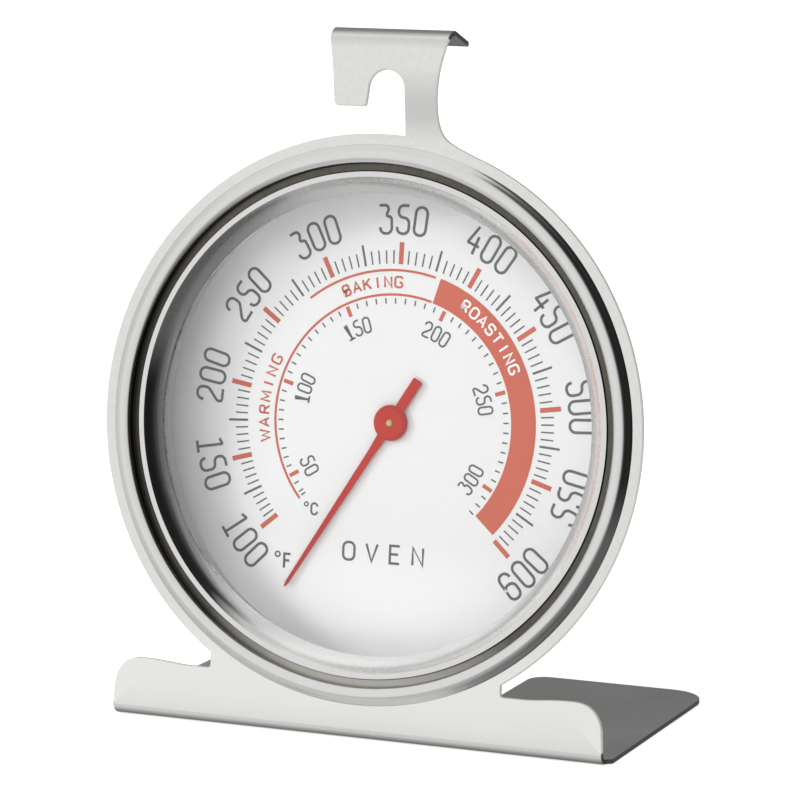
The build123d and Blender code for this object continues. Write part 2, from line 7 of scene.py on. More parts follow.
import math
from math import acos, atan2, cos, degrees, hypot, pi, radians, sin, sqrt, tan

import bpy
import numpy as np
from mathutils import Matrix, Vector
from mathutils.geometry import delaunay_2d_cdt, tessellate_polygon


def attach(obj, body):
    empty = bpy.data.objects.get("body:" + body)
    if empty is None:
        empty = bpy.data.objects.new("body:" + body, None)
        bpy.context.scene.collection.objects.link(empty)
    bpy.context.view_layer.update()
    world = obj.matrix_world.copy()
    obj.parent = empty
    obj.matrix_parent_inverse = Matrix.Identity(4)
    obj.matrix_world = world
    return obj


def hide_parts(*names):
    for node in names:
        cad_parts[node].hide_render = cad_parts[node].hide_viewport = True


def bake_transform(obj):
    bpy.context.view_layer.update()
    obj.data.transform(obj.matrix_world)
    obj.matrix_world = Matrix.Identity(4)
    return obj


# ---------------------------------------------------------------------------
# sizes (mm), the same as the CAD's
# ---------------------------------------------------------------------------
SHEET, RING_R, LEAN, CENTRE_H, FOOT_LEN = 0.8, 47.0, 5.92, 50.85, 51.3
FOOT_W, FOOT_X, FOOT_CORNER, NOTCH_W, NOTCH_Y, NOTCH_CORNER = 44.2, -0.5, 6.5, 12.3, 4.4, 6.0
BEND_R, PANEL_W, NECK_W, NECK_Z, EAR_Z, COLLAR_R, COLLAR_Y = 2.0, 43.0, 25.6, -41.65, -41.15, 42.62, 4.2
HOOK_LEFT, HOOK_RIGHT, HOOK_TOP, LIP_R, LIP_DOWN, LIP_TAIL, LIP_FLARE = -9.3, 11.0, 63.9, 2.0, 14.5, 5.9, 0.6
RACK_R, RACK_X, RACK_Z, PRONG_Z = 3.1, 0.85, 54.2, 51.3
CUP_T, CUP_R, CUP_STEP_Y, CUP_REAR_R, CUP_BACK_Y, FLANGE_R, FLANGE_Y = 0.5, 42.6, 11.1, 38.1, 22.1, 43.9, -0.87
VENT_R, VENT_PCR, VENT_N = 2.2, 27.0, 8
BEZEL_T, HEM_T, RIM_R = 0.45, 0.40, 45.35
GLASS_R, GLASS_Y0, GLASS_Y1 = 41.7, 3.32, 5.12
SPACER_RI, SPACER_RO, SPACER_T = 40.0, 41.9, 0.5
DIAL_Y0, DIAL_T, DIAL_R, DIAL_HOLE = 10.6, 0.5, 41.8, 2.2
POINT_ANGLE, POINT_TIP, POINT_TAIL, POINT_Y, POINT_T, HUB_R = -147.9, 33.5, 8.6, 9.75, 0.3, 2.95
COIL_T, COIL_Y0, COIL_Y1, COIL_R0, COIL_R1, COIL_TURNS = 0.35, 14.2, 17.2, 2.62, 14.5, 4.75
RIVET_X, RIVET_R = 22.3, 1.2

B = radians(LEAN)
CB, SB = cos(B), sin(B)
FRONT_Y = -FOOT_LEN / 2.0
CENTRE_Y = FRONT_Y + CENTRE_H * tan(B)

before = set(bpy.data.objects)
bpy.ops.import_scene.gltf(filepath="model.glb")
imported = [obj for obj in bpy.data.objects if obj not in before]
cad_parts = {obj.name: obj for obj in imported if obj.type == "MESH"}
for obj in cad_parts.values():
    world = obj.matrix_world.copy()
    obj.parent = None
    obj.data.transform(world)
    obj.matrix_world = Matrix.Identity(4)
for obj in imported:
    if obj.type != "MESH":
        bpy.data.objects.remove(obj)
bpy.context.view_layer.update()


def W(p):
    """Plate frame (mm) to row frame (mm)."""
    p = np.asarray(p, float)
    return np.stack([p[..., 0], CENTRE_Y + p[..., 1] * CB + p[..., 2] * SB, CENTRE_H - p[..., 1] * SB + p[..., 2] * CB], -1)


def WD(d):
    """Plate frame direction to row frame direction."""
    d = np.asarray(d, float)
    return np.stack([d[..., 0], d[..., 1] * CB + d[..., 2] * SB, -d[..., 1] * SB + d[..., 2] * CB], -1)


# ---------------------------------------------------------------------------
# mesh building
# ---------------------------------------------------------------------------
def unit(a):
    return a / np.maximum(np.linalg.norm(a, axis=-1, keepdims=True), 1e-12)


def rounded(pts, rad, seg=5):
    """Closed loop with rounded corners: (points, right-hand normals). Radius 0 keeps a corner sharp."""
    pts = np.array(pts, float)
    n = len(pts)
    rad = [rad] * n if np.isscalar(rad) else list(rad)
    op, on = [], []
    for i in range(n):
        p0, p, p1 = pts[i - 1], pts[i], pts[(i + 1) % n]
        d0, d1 = p - p0, p1 - p
        l0, l1 = np.linalg.norm(d0), np.linalg.norm(d1)
        d0, d1 = d0 / l0, d1 / l1
        n0, n1 = np.array([d0[1], -d0[0]]), np.array([d1[1], -d1[0]])
        ang = atan2(d0[0] * d1[1] - d0[1] * d1[0], float(d0 @ d1))
        if abs(ang) < 2e-3:
            op.append(p)
            on.append(unit(n0 + n1))
            continue
        if rad[i] <= 0:
            op += [p, p]
            on += [n0, n1]
            continue
        t = min(rad[i] * tan(abs(ang) / 2), 0.48 * l0, 0.48 * l1)
        r = t / tan(abs(ang) / 2)
        s = 1.0 if ang > 0 else -1.0
        c = p - d0 * t - n0 * r * s
        k_max = max(1, int(math.ceil(seg * abs(ang) / (pi / 2))))
        for k in range(k_max + 1):
            a = ang * k / k_max
            nk = np.array([n0[0] * cos(a) - n0[1] * sin(a), n0[0] * sin(a) + n0[1] * cos(a)])
            op.append(c + nk * r * s)
            on.append(nk)
    return np.array(op), np.array(on)


def merged(p, n, tol=0.004):
    """Join neighbouring profile points closer than tol, with the mean of their normals."""
    keep, kn = [0], [n[0]]
    for i in range(1, len(p)):
        if hypot(*(p[i] - p[keep[-1]])) < tol:
            kn[-1] = kn[-1] + n[i]
        else:
            keep.append(i)
            kn.append(n[i])
    return p[keep], np.array([unit(v) for v in kn])


def loop_normals(P):
    """Right-hand normals of a dense closed loop."""
    P = np.array(P, float)
    d = unit(np.roll(P, -1, 0) - P)
    n = np.stack([d[:, 1], -d[:, 0]], 1)
    return unit(n + np.roll(n, 1, 0))


def area2(P):
    x, y = P[:, 0], P[:, 1]
    return float(np.sum(x * np.roll(y, -1) - np.roll(x, -1) * y)) / 2


def spline(pts, n, t0=None, t1=None):
    """Natural or clamped cubic through pts, by chord length, sampled n times."""
    P = np.array(pts, float)
    s = np.concatenate([[0], np.cumsum(np.linalg.norm(np.diff(P, axis=0), axis=1))])
    m = len(P)
    A, R = np.zeros((m, m)), np.zeros((m, 2))
    h = np.diff(s)
    for i in range(1, m - 1):
        A[i, i - 1], A[i, i], A[i, i + 1] = h[i - 1], 2 * (h[i - 1] + h[i]), h[i]
        R[i] = 6 * ((P[i + 1] - P[i]) / h[i] - (P[i] - P[i - 1]) / h[i - 1])
    A[0, 0] = A[-1, -1] = 1
    if t0 is not None:
        A[0, 0], A[0, 1] = 2 * h[0], h[0]
        R[0] = 6 * ((P[1] - P[0]) / h[0] - unit(np.array(t0, float)))
    if t1 is not None:
        A[-1, -1], A[-1, -2] = 2 * h[-1], h[-1]
        R[-1] = 6 * (unit(np.array(t1, float)) - (P[-1] - P[-2]) / h[-1])
    M = np.linalg.solve(A, R)
    out = []
    for t in np.linspace(0, s[-1], n):
        i = min(max(int(np.searchsorted(s, t) - 1), 0), m - 2)
        a, b_ = s[i + 1] - t, t - s[i]
        out.append(M[i] * a**3 / (6 * h[i]) + M[i + 1] * b_**3 / (6 * h[i])
                   + (P[i] / h[i] - M[i] * h[i] / 6) * a + (P[i + 1] / h[i] - M[i + 1] * h[i] / 6) * b_)
    return np.array(out)


def arc(c, r, a0, a1, n):
    """Points on a circle, angles in degrees measured from +first axis towards +second."""
    return [(c[0] + r * cos(radians(a)), c[1] + r * sin(radians(a))) for a in np.linspace(a0, a1, n)]


class Geo:
    """Vertices, faces and vertex normals being gathered."""

    def __init__(self):
        self.v, self.n, self.f, self.m, self.count = [], [], [], [], 0

    def add(self, v, n, f, m=0):
        v, n = np.asarray(v, float), np.asarray(n, float)
        fixed = []
        for face in f:
            a, b_, c = v[face[0]], v[face[1]], v[face[-1]]
            g = np.cross(b_ - a, c - a)
            if np.linalg.norm(g) < 1e-12 and len(face) == 4:
                g = np.cross(v[face[2]] - v[face[1]], v[face[3]] - v[face[1]])
            side = float(g @ n[list(face)].sum(0))
            fixed.append(tuple(reversed(face)) if side < 0 else tuple(face))
        self.f += [tuple(i + self.count for i in face) for face in fixed]
        self.m += list(m) if isinstance(m, (list, tuple)) else [m] * len(fixed)
        self.v.append(v)
        self.n.append(n)
        self.count += len(v)
        return self

    def make(self, name, mats, world=False):
        v, n = np.concatenate(self.v), unit(np.concatenate(self.n))
        if not world:
            v, n = W(v), WD(n)
        me = bpy.data.meshes.new(name)
        me.from_pydata((v * 0.001).tolist(), [], self.f)
        for mat in mats if isinstance(mats, (list, tuple)) else [mats]:
            me.materials.append(mat)
        me.polygons.foreach_set("material_index", self.m)
        me.polygons.foreach_set("use_smooth", [True] * len(me.polygons))
        me.update()
        me.normals_split_custom_set_from_vertices(n.tolist())
        ob = bpy.data.objects.new(name, me)
        bpy.context.scene.collection.objects.link(ob)
        return ob


def revolve(g, P, N, seg=256, cx=0.0, cz=0.0, m=0, pick=None):
    """Turn a closed (radius, depth) loop about the depth axis through (cx, cz); pick(r, y) chooses a face's material."""
    P, N = np.array(P, float), np.array(N, float)
    if area2(P) < 0:
        N = -N
    n = len(P)
    ph = np.linspace(0, 2 * pi, seg, endpoint=False)
    s, c = np.sin(ph)[:, None], np.cos(ph)[:, None]
    v = np.stack([cx + s * P[:, 0], np.broadcast_to(P[:, 1], (seg, n)), cz + c * P[:, 0]], -1).reshape(-1, 3)
    nn = np.stack([s * N[:, 0], np.broadcast_to(N[:, 1], (seg, n)), c * N[:, 0]], -1).reshape(-1, 3)
    f = []
    keep = [i for i in range(n) if np.linalg.norm(P[i] - P[(i + 1) % n]) > 1e-7 and not (P[i][0] < 1e-6 and P[(i + 1) % n][0] < 1e-6)]
    for j in range(seg):
        k = (j + 1) % seg
        for i in keep:
            i2 = (i + 1) % n
            a, b_, c_, d = j * n + i, j * n + i2, k * n + i2, k * n + i
            if P[i][0] < 1e-6:
                f.append((a, b_, c_))
            elif P[i2][0] < 1e-6:
                f.append((a, b_, d))
            else:
                f.append((a, b_, c_, d))
    if pick is not None:
        per = [pick(*((P[i] + P[(i + 1) % n]) / 2)) for i in keep]
        m = per * seg
    g.add(v, nn, f, m)
    return g


def slab(g, loops, t0, t1, rf=0.1, rb=0.1, k=3, rows=(), to3=None, m=0, caps=(True, True), edge=None):
    """A flat solid from outline loops (outer one counter-clockwise, holes clockwise), rounded at both edges.
    to3 maps (u, v, t) and (nu, nv, nt) to space; by default u is X, v is Z and t is depth.
    edge(u, v) chooses the material of the cut edge."""
    prof = []
    for i in range(k + 1):
        a = (pi / 2) * i / k
        prof.append((rf * (1 - sin(a)), t0 + rf * (1 - cos(a)), sin(a), -cos(a)))
    for i in range(k + 1):
        a = (pi / 2) * i / k
        prof.append((rb * (1 - cos(a)), t1 - rb * (1 - sin(a)), cos(a), sin(a)))
    q = len(prof)
    v, nn, f, base, fm_ = [], [], [], [], []
    for P, N in loops:
        P, N = np.array(P, float), np.array(N, float)
        base.append(len(v))
        off = len(v)
        for p, n_ in zip(P, N):
            for ins, t, a, b_ in prof:
                v.append((p[0] - n_[0] * ins, p[1] - n_[1] * ins, t))
                nn.append((n_[0] * a, n_[1] * a, b_))
        c = len(P)
        for i in range(c):
            i2 = (i + 1) % c
            for j in range(q - 1):
                f.append((off + i * q + j, off + i2 * q + j, off + i2 * q + j + 1, off + i * q + j + 1))
                fm_.append(m if edge is None or j < 1 else edge(*((P[i] + P[i2]) / 2)))
    for side, j, nt in ((0, 0, -1.0), (1, q - 1, 1.0)):
        if not caps[side]:
            continue
        pts, edges, src = [], [], []
        polys = []
        for (P, N), off in zip(loops, base):
            c = len(P)
            s0 = len(pts)
            ring = []
            for i in range(c):
                idx = off + i * q + j
                pts.append(Vector((v[idx][0], v[idx][1])))
                src.append(idx)
                ring.append((v[idx][0], v[idx][1]))
            edges += [(s0 + i, s0 + (i + 1) % c) for i in range(c)]
            polys.append(np.array(ring))
        for row in rows:
            hit = sorted([i for i in range(len(pts)) if abs(pts[i].y - row[0]) < row[1]], key=lambda i: pts[i].x)
            if len(hit) >= 2:
                edges.append((hit[0], hit[-1]))
        ov, oe, of_, orig, _, _ = delaunay_2d_cdt(pts, edges, [], 0, 1e-7)
        ids = []
        for i, p in enumerate(ov):
            if orig[i]:
                ids.append(src[orig[i][0]])
            else:
                ids.append(len(v))
                v.append((p.x, p.y, prof[j][1]))
                nn.append((0, 0, nt))
        tri = np.array([t for t in of_], int)
        cen = np.array([[sum(ov[i].x for i in t) / 3, sum(ov[i].y for i in t) / 3] for t in of_])
        inside = np.zeros(len(tri), int)
        for ring in polys:
            x0, y0 = ring[:, 0], ring[:, 1]
            x1, y1 = np.roll(x0, -1), np.roll(y0, -1)
            cy_, cx_ = cen[:, 1][:, None], cen[:, 0][:, None]
            cross = (y0 > cy_) != (y1 > cy_)
            with np.errstate(divide="ignore", invalid="ignore"):
                xs = (x1 - x0) * (cy_ - y0) / (y1 - y0) + x0
            inside += np.sum(cross & (cx_ < xs), 1)
        for t, ins in zip(tri, inside):
            if ins % 2:
                f.append(tuple(ids[i] for i in t))
                fm_.append(m)
    v, nn = np.array(v, float), np.array(nn, float)
    if to3 is None:
        v3, n3 = v[:, [0, 2, 1]], nn[:, [0, 2, 1]]
    else:
        v3, n3 = to3(v, nn)
    # tiny faces that collapse in space are dropped
    ok = [i for i, face in enumerate(f) if len(set(face)) >= 3]
    g.add(v3, n3, [f[i] for i in ok], [fm_[i] for i in ok])
    return g


def circle_loop(cx, cz, r, n=48, hole=True):
    a = np.linspace(0, 2 * pi, n, endpoint=False)
    if hole:
        a = -a
    P = np.stack([cx + r * np.cos(a), cz + r * np.sin(a)], 1)
    N = np.stack([np.cos(a), np.sin(a)], 1) * (-1 if hole else 1)
    return P, N


# ---------------------------------------------------------------------------
# brightness of the surroundings by direction, in four elevation bands of (azimuth, value) stops
# ---------------------------------------------------------------------------
SOFT = {
    "low": [(-180, 0.44), (-150, 0.50), (-130, 0.66), (-90, 0.66), (-43, 0.68), (-15, 0.60), (5, 0.44), (22, 0.36), (38, 0.34), (59, 0.32),
            (92, 0.32), (120, 0.36), (150, 0.42), (180, 0.44)],
    "mid": [(-180, 0.20), (-158, 0.18), (-149, 0.38), (-139, 0.72), (-86, 0.74), (-60, 0.86), (-30, 0.90), (10, 0.84), (26, 0.76), (37, 0.60),
            (46, 0.44), (58, 0.35), (74, 0.31), (96, 0.31), (120, 0.34), (142, 0.34), (156, 0.24), (180, 0.20)],
    "upper": [(-180, 0.48), (-160, 0.52), (-140, 0.74), (-130, 0.80), (-74, 0.88), (-18, 0.90), (9, 0.84), (27, 0.76), (38, 0.62), (48, 0.48),
              (62, 0.38), (96, 0.34), (130, 0.38), (152, 0.44), (180, 0.48)],
    "top": [(-180, 0.58), (-140, 0.76), (-60, 0.88), (0, 0.85), (24, 0.76), (40, 0.64), (60, 0.52), (100, 0.48), (140, 0.50), (180, 0.58)],
}
DARK = {                            # painted reflection for the polished bead and lip: the same room with a black side to the right
    "low": [(-180, 0.44), (-150, 0.50), (-130, 0.66), (-90, 0.66), (-43, 0.68), (-15, 0.60), (5, 0.42), (22, 0.28), (38, 0.22), (59, 0.13),
            (92, 0.07), (104, 0.05), (140, 0.025), (160, 0.10), (180, 0.44)],
    "mid": [(-180, 0.20), (-158, 0.18), (-149, 0.38), (-139, 0.72), (-86, 0.74), (-60, 0.86), (-30, 0.90), (10, 0.84), (26, 0.76), (37, 0.56),
            (43, 0.36), (49, 0.16), (55, 0.060), (64, 0.022), (76, 0.012), (88, 0.008), (102, 0.008), (118, 0.02), (142, 0.05), (160, 0.12),
            (180, 0.20)],
    "upper": [(-180, 0.48), (-160, 0.52), (-140, 0.74), (-130, 0.80), (-74, 0.88), (-18, 0.90), (9, 0.84), (27, 0.76), (36, 0.52), (44, 0.26),
              (54, 0.06), (65, 0.022), (82, 0.015), (97, 0.022), (112, 0.022), (130, 0.06), (152, 0.14), (180, 0.48)],
    "top": [(-180, 0.58), (-140, 0.76), (-60, 0.88), (0, 0.85), (24, 0.72), (38, 0.40), (50, 0.13), (66, 0.05), (100, 0.05), (140, 0.12),
            (163, 0.30), (180, 0.58)],
}


def calc(nt, op, a, b_=None, clamp=False):
    n = nt.nodes.new("ShaderNodeMath")
    n.operation = op
    n.use_clamp = clamp
    for i, s in enumerate((a, b_)):
        if s is None:
            continue
        if isinstance(s, (int, float)):
            n.inputs[i].default_value = s
        else:
            nt.links.new(s, n.inputs[i])
    return n.outputs[0]


def sky(nt, direction, table):
    """Brightness seen in a direction; azimuth 0 is in front, positive to the right."""
    sep = nt.nodes.new("ShaderNodeSeparateXYZ")
    nt.links.new(direction, sep.inputs[0])
    az = calc(nt, "ARCTAN2", sep.outputs[0], calc(nt, "MULTIPLY", sep.outputs[1], -1.0))
    azn = calc(nt, "ADD", calc(nt, "DIVIDE", az, 2 * pi), 0.5)
    el = calc(nt, "DIVIDE", calc(nt, "ARCSINE", sep.outputs[2]), pi / 2)

    def level(stops):
        r = nt.nodes.new("ShaderNodeValToRGB")
        r.color_ramp.interpolation = "EASE"
        els = r.color_ramp.elements
        while len(els) > 1:
            els.remove(els[-1])
        for i, (a, v_) in enumerate(stops):
            e = els[0] if i == 0 else els.new(a / 360.0 + 0.5)
            e.position = a / 360.0 + 0.5
            e.color = (v_, v_, v_, 1)
        nt.links.new(azn, r.inputs[0])
        return r.outputs[0]

    def blend_(a, b_, e0, e1):
        """a below elevation e0, b_ above e1, in degrees."""
        r = nt.nodes.new("ShaderNodeMapRange")
        r.interpolation_type = "SMOOTHSTEP"
        r.inputs["From Min"].default_value = e0 / 90
        r.inputs["From Max"].default_value = e1 / 90
        nt.links.new(el, r.inputs["Value"])
        x = nt.nodes.new("ShaderNodeMix")
        x.data_type = "RGBA"
        nt.links.new(r.outputs["Result"], x.inputs[0])
        nt.links.new(a, x.inputs[6])
        nt.links.new(b_, x.inputs[7])
        return x.outputs[2]

    q = {k_: level(v_) for k_, v_ in table.items()}
    return blend_(blend_(blend_(q["low"], q["mid"], -30, -10), q["upper"], 16, 38), q["top"], 52, 72)


# where the picture is taken from
CA, CE, CR, CF = 0.39472577709370554, 0.0662881795299889, -0.04419099579362559, 3808.28599735189
CPOS = np.array([5.10849701, -11.97506331, 0.95874179]) * RING_R


# ---------------------------------------------------------------------------
# materials
# ---------------------------------------------------------------------------
def node(nt, kind, **kw):
    n = nt.nodes.new(kind)
    for k_, v_ in kw.items():
        if k_ == "loc":
            continue
        if hasattr(n, k_):
            setattr(n, k_, v_)
        else:
            n.inputs[k_].default_value = v_
    return n


def material(name):
    m = bpy.data.materials.new(name)
    m.use_nodes = True
    nt = m.node_tree
    nt.nodes.clear()
    out = nt.nodes.new("ShaderNodeOutputMaterial")
    p = nt.nodes.new("ShaderNodeBsdfPrincipled")
    nt.links.new(p.outputs[0], out.inputs[0])
    return m, nt, p


def coords(nt, scale=(1, 1, 1)):
    tc = nt.nodes.new("ShaderNodeTexCoord")
    mp = nt.nodes.new("ShaderNodeMapping")
    mp.inputs["Scale"].default_value = scale
    nt.links.new(tc.outputs["Object"], mp.inputs["Vector"])
    return mp.outputs[0]


def noise(nt, vec, scale, detail=3.0, rough=0.5):
    n = nt.nodes.new("ShaderNodeTexNoise")
    n.inputs["Scale"].default_value = scale
    n.inputs["Detail"].default_value = detail
    n.inputs["Roughness"].default_value = rough
    nt.links.new(vec, n.inputs["Vector"])
    return n.outputs["Fac"]


def ramp(nt, fac, lo, hi, a=0.3, b=0.7):
    """Map a 0..1 factor to lo..hi between a and b."""
    r = nt.nodes.new("ShaderNodeMapRange")
    r.inputs["From Min"].default_value = a
    r.inputs["From Max"].default_value = b
    r.inputs["To Min"].default_value = lo
    r.inputs["To Max"].default_value = hi
    nt.links.new(fac, r.inputs["Value"])
    return r.outputs["Result"]


def tint(nt, fac, c0, c1):
    mx = nt.nodes.new("ShaderNodeMix")
    mx.data_type = "RGBA"
    mx.inputs[6].default_value = (*c0, 1)
    mx.inputs[7].default_value = (*c1, 1)
    nt.links.new(fac, mx.inputs[0])
    return mx.outputs[2]


def bump(nt, height, strength, dist):
    b_ = nt.nodes.new("ShaderNodeBump")
    b_.inputs["Strength"].default_value = strength
    b_.inputs["Distance"].default_value = dist
    nt.links.new(height, b_.inputs["Height"])
    return b_.outputs[0]


def metal(name, base, rough, grain=(260, 5200, 5200), spread=0.05, bumpy=0.00002, wear=0.04, metallic=1.0, shade=""):
    """Brushed or satin metal: fine grain stretched along one axis, broad cloudiness, a few rubbed patches. shade
    chooses painted light, shade and reflection laid into the colour: sheet, bead, lip or groove.
    """
    m, nt, p = material(name)
    fine = noise(nt, coords(nt, grain), 1.0, 4.0, 0.6)
    broad = noise(nt, coords(nt, (38, 38, 38)), 1.0, 3.0, 0.55)
    spots = noise(nt, coords(nt, (900, 900, 900)), 1.0, 5.0, 0.7)
    add = nt.nodes.new("ShaderNodeMath")
    add.operation = "MULTIPLY_ADD"
    nt.links.new(ramp(nt, fine, -1.0, 1.0), add.inputs[0])
    add.inputs[1].default_value = spread * 0.6
    nt.links.new(ramp(nt, broad, rough - spread * 0.5, rough + spread * 0.7), add.inputs[2])
    nt.links.new(add.outputs[0], p.inputs["Roughness"])
    dark = tuple(c * (1 - wear) for c in base)
    lite = tuple(min(1.0, c * (1 + wear * 0.5)) for c in base)
    col = tint(nt, ramp(nt, spots, 0.0, 1.0, 0.35, 0.7), lite, dark)
    if shade:
        geo = nt.nodes.new("ShaderNodeNewGeometry")
        sn_, sp_ = nt.nodes.new("ShaderNodeSeparateXYZ"), nt.nodes.new("ShaderNodeSeparateXYZ")
        nt.links.new(geo.outputs["Normal"], sn_.inputs[0])
        nt.links.new(geo.outputs["Position"], sp_.inputs[0])

        def patch(col_, f1, f2, tone):
            both = nt.nodes.new("ShaderNodeMath")
            both.operation = "MULTIPLY"
            nt.links.new(f1, both.inputs[0])
            if f2 is None:
                both.inputs[1].default_value = 1.0
            else:
                nt.links.new(f2, both.inputs[1])
            mx = nt.nodes.new("ShaderNodeMix")
            mx.data_type = "RGBA"
            nt.links.new(both.outputs[0], mx.inputs[0])
            nt.links.new(col_, mx.inputs[6])
            mx.inputs[7].default_value = (*tone, 1)
            return mx.outputs[2]

        if shade == "sheet":        # painted light and shade on the sheet, laid into its colour by place and facing
            front = ramp(nt, sn_.outputs[1], 1.0, 0.0, -0.97, -0.85)
            # painted light: the front of the lower panel is lighter
            col = patch(col, front, ramp(nt, sp_.outputs[2], 1.0, 0.0, 0.0125, 0.0200), (0.91, 0.91, 0.885))
            # painted shade: a darker band across the right half of the hanger's stem
            stem = calc(nt, "MULTIPLY", ramp(nt, sp_.outputs[2], 0.0, 1.0, 0.0965, 0.1005), ramp(nt, sp_.outputs[2], 1.0, 0.0, 0.1030, 0.1085))
            col = patch(col, stem, ramp(nt, sp_.outputs[0], 0.0, 1.0, -0.002, 0.002), (0.65, 0.65, 0.635))
            # painted shade: the front darkens just under the hanger's fold
            col = patch(col, front, ramp(nt, sp_.outputs[2], 0.0, 1.0, 0.1113, 0.1134), (0.62, 0.62, 0.61))
            # painted reflection: the top of the foot is darker
            col = patch(col, ramp(nt, sn_.outputs[2], 0.0, 1.0, 0.85, 0.97), ramp(nt, sp_.outputs[2], 1.0, 0.0, 0.003, 0.006), (0.75, 0.75, 0.735))
            # painted contact shadow on the foot's fold, next to the table
            col = patch(col, ramp(nt, sn_.outputs[2], 1.0, 0.0, -0.80, -0.30), ramp(nt, sp_.outputs[2], 1.0, 0.0, 0.0015, 0.004), (0.17, 0.17, 0.165))
            # painted shade: upward faces leaning forward, the top of the hanger's fold, are darker
            col = patch(col, ramp(nt, sn_.outputs[2], 0.0, 1.0, 0.45, 0.85), ramp(nt, sn_.outputs[1], 1.0, 0.0, -0.12, 0.02), (0.26, 0.26, 0.26))
            # painted shade: the underside of the hanger's lip is dark
            col = patch(col, ramp(nt, sn_.outputs[2], 1.0, 0.0, -0.60, -0.20), ramp(nt, sp_.outputs[2], 0.0, 1.0, 0.104, 0.106), (0.13, 0.13, 0.13))
        elif shade in ("bead", "lip"):      # painted reflection: the black side of the room, laid into the polished bead's colour as seen from the camera
            inc, ref = nt.nodes.new("ShaderNodeVectorMath"), nt.nodes.new("ShaderNodeVectorMath")
            uni, dot = nt.nodes.new("ShaderNodeVectorMath"), nt.nodes.new("ShaderNodeVectorMath")
            inc.operation, uni.operation, ref.operation, dot.operation = "SUBTRACT", "NORMALIZE", "REFLECT", "DOT_PRODUCT"
            nt.links.new(geo.outputs["Position"], inc.inputs[0])
            inc.inputs[1].default_value = (W(CPOS) * 0.001).tolist()
            nt.links.new(inc.outputs[0], uni.inputs[0])
            nt.links.new(uni.outputs[0], ref.inputs[0])
            nt.links.new(geo.outputs["Normal"], ref.inputs[1])
            nt.links.new(uni.outputs[0], dot.inputs[0])
            nt.links.new(geo.outputs["Normal"], dot.inputs[1])
            part = calc(nt, "DIVIDE", sky(nt, ref.outputs[0], DARK), sky(nt, ref.outputs[0], SOFT), True)
            facing = ramp(nt, dot.outputs["Value"], 1.0, 0.0, -0.12, -0.02)
            if shade == "lip":      # painted reflection: the cone's right and bottom sides see the white dial, so their colour is painted lighter
                pale = calc(nt, "MAXIMUM", ramp(nt, sn_.outputs[0], 1.0, 0.0, -0.32, -0.04), ramp(nt, sn_.outputs[2], 0.0, 1.0, 0.63, 0.72))
                facing = calc(nt, "MULTIPLY", facing, ramp(nt, sn_.outputs[2], 1.0, 0.0, 0.63, 0.72))
                col = patch(col, pale, None, (0.96, 0.96, 0.95))
            col = patch(col, calc(nt, "MULTIPLY", calc(nt, "SUBTRACT", 1.0, part), facing), None, (0.0, 0.0, 0.0))
        else:                       # painted reflection on the groove: darker on the left, lighter at the bottom
            col = patch(col, ramp(nt, sp_.outputs[0], 1.0, 0.0, -0.0405, -0.026), None, (0.055, 0.05, 0.045))
            col = patch(col, ramp(nt, sp_.outputs[2], 1.0, 0.0, 0.0098, 0.0190), None, (0.48, 0.465, 0.435))
    nt.links.new(col, p.inputs["Base Color"])
    p.inputs["Metallic"].default_value = metallic
    nt.links.new(bump(nt, fine, 0.22, bumpy), p.inputs["Normal"])
    return m


def paint(name, base, rough, peel=0.00001, vary=0.03, coat=0.0, scale=1500, spec=0.5):
    m, nt, p = material(name)
    f1 = noise(nt, coords(nt, (scale,) * 3), 1.0, 3.0)
    f2 = noise(nt, coords(nt, (60, 60, 60)), 1.0, 3.0)
    a = tuple(min(1.0, c * (1 + vary)) for c in base)
    c2 = tuple(c * (1 - vary) for c in base)
    nt.links.new(tint(nt, ramp(nt, f2, 0, 1), a, c2), p.inputs["Base Color"])
    nt.links.new(ramp(nt, f2, rough - 0.04, rough + 0.05), p.inputs["Roughness"])
    p.inputs["Coat Weight"].default_value = coat
    p.inputs["Specular IOR Level"].default_value = spec
    p.inputs["Coat Roughness"].default_value = 0.08
    nt.links.new(bump(nt, f1, 0.25, peel), p.inputs["Normal"])
    return m


def toned(m, axis, a, b_, f0, f1):
    """Scale a material's colour from f0 to f1 between two places along one axis, in metres: painted light and shade.
    """
    nt = m.node_tree
    p = next(n for n in nt.nodes if n.type == "BSDF_PRINCIPLED")
    src = p.inputs["Base Color"].links[0].from_socket
    geo, sp_ = nt.nodes.new("ShaderNodeNewGeometry"), nt.nodes.new("ShaderNodeSeparateXYZ")
    nt.links.new(geo.outputs["Position"], sp_.inputs[0])
    mx = nt.nodes.new("ShaderNodeMix")
    mx.data_type = "RGBA"
    mx.blend_type = "MULTIPLY"
    mx.inputs[0].default_value = 1.0
    nt.links.new(src, mx.inputs[6])
    nt.links.new(ramp(nt, sp_.outputs[axis], f0, f1, a, b_), mx.inputs[7])
    nt.links.new(mx.outputs[2], p.inputs["Base Color"])


M_SHEET = metal("sheet_satin_steel", (0.83, 0.83, 0.805), 0.23, grain=(240, 5200, 5200), spread=0.05, bumpy=0.000012, shade="sheet")
# the sheet's cut edge in lit and shaded copies: a pale one, and a dark one that is painted shade
M_EDGE = paint("sheet_cut_edge", (0.60, 0.54, 0.515), 0.45, peel=0.00002, vary=0.06)
M_EDGE_DARK = metal("cut_edge_painted_shade", (0.16, 0.16, 0.16), 0.35, grain=(2500, 2500, 2500), spread=0.06, bumpy=0.000008)
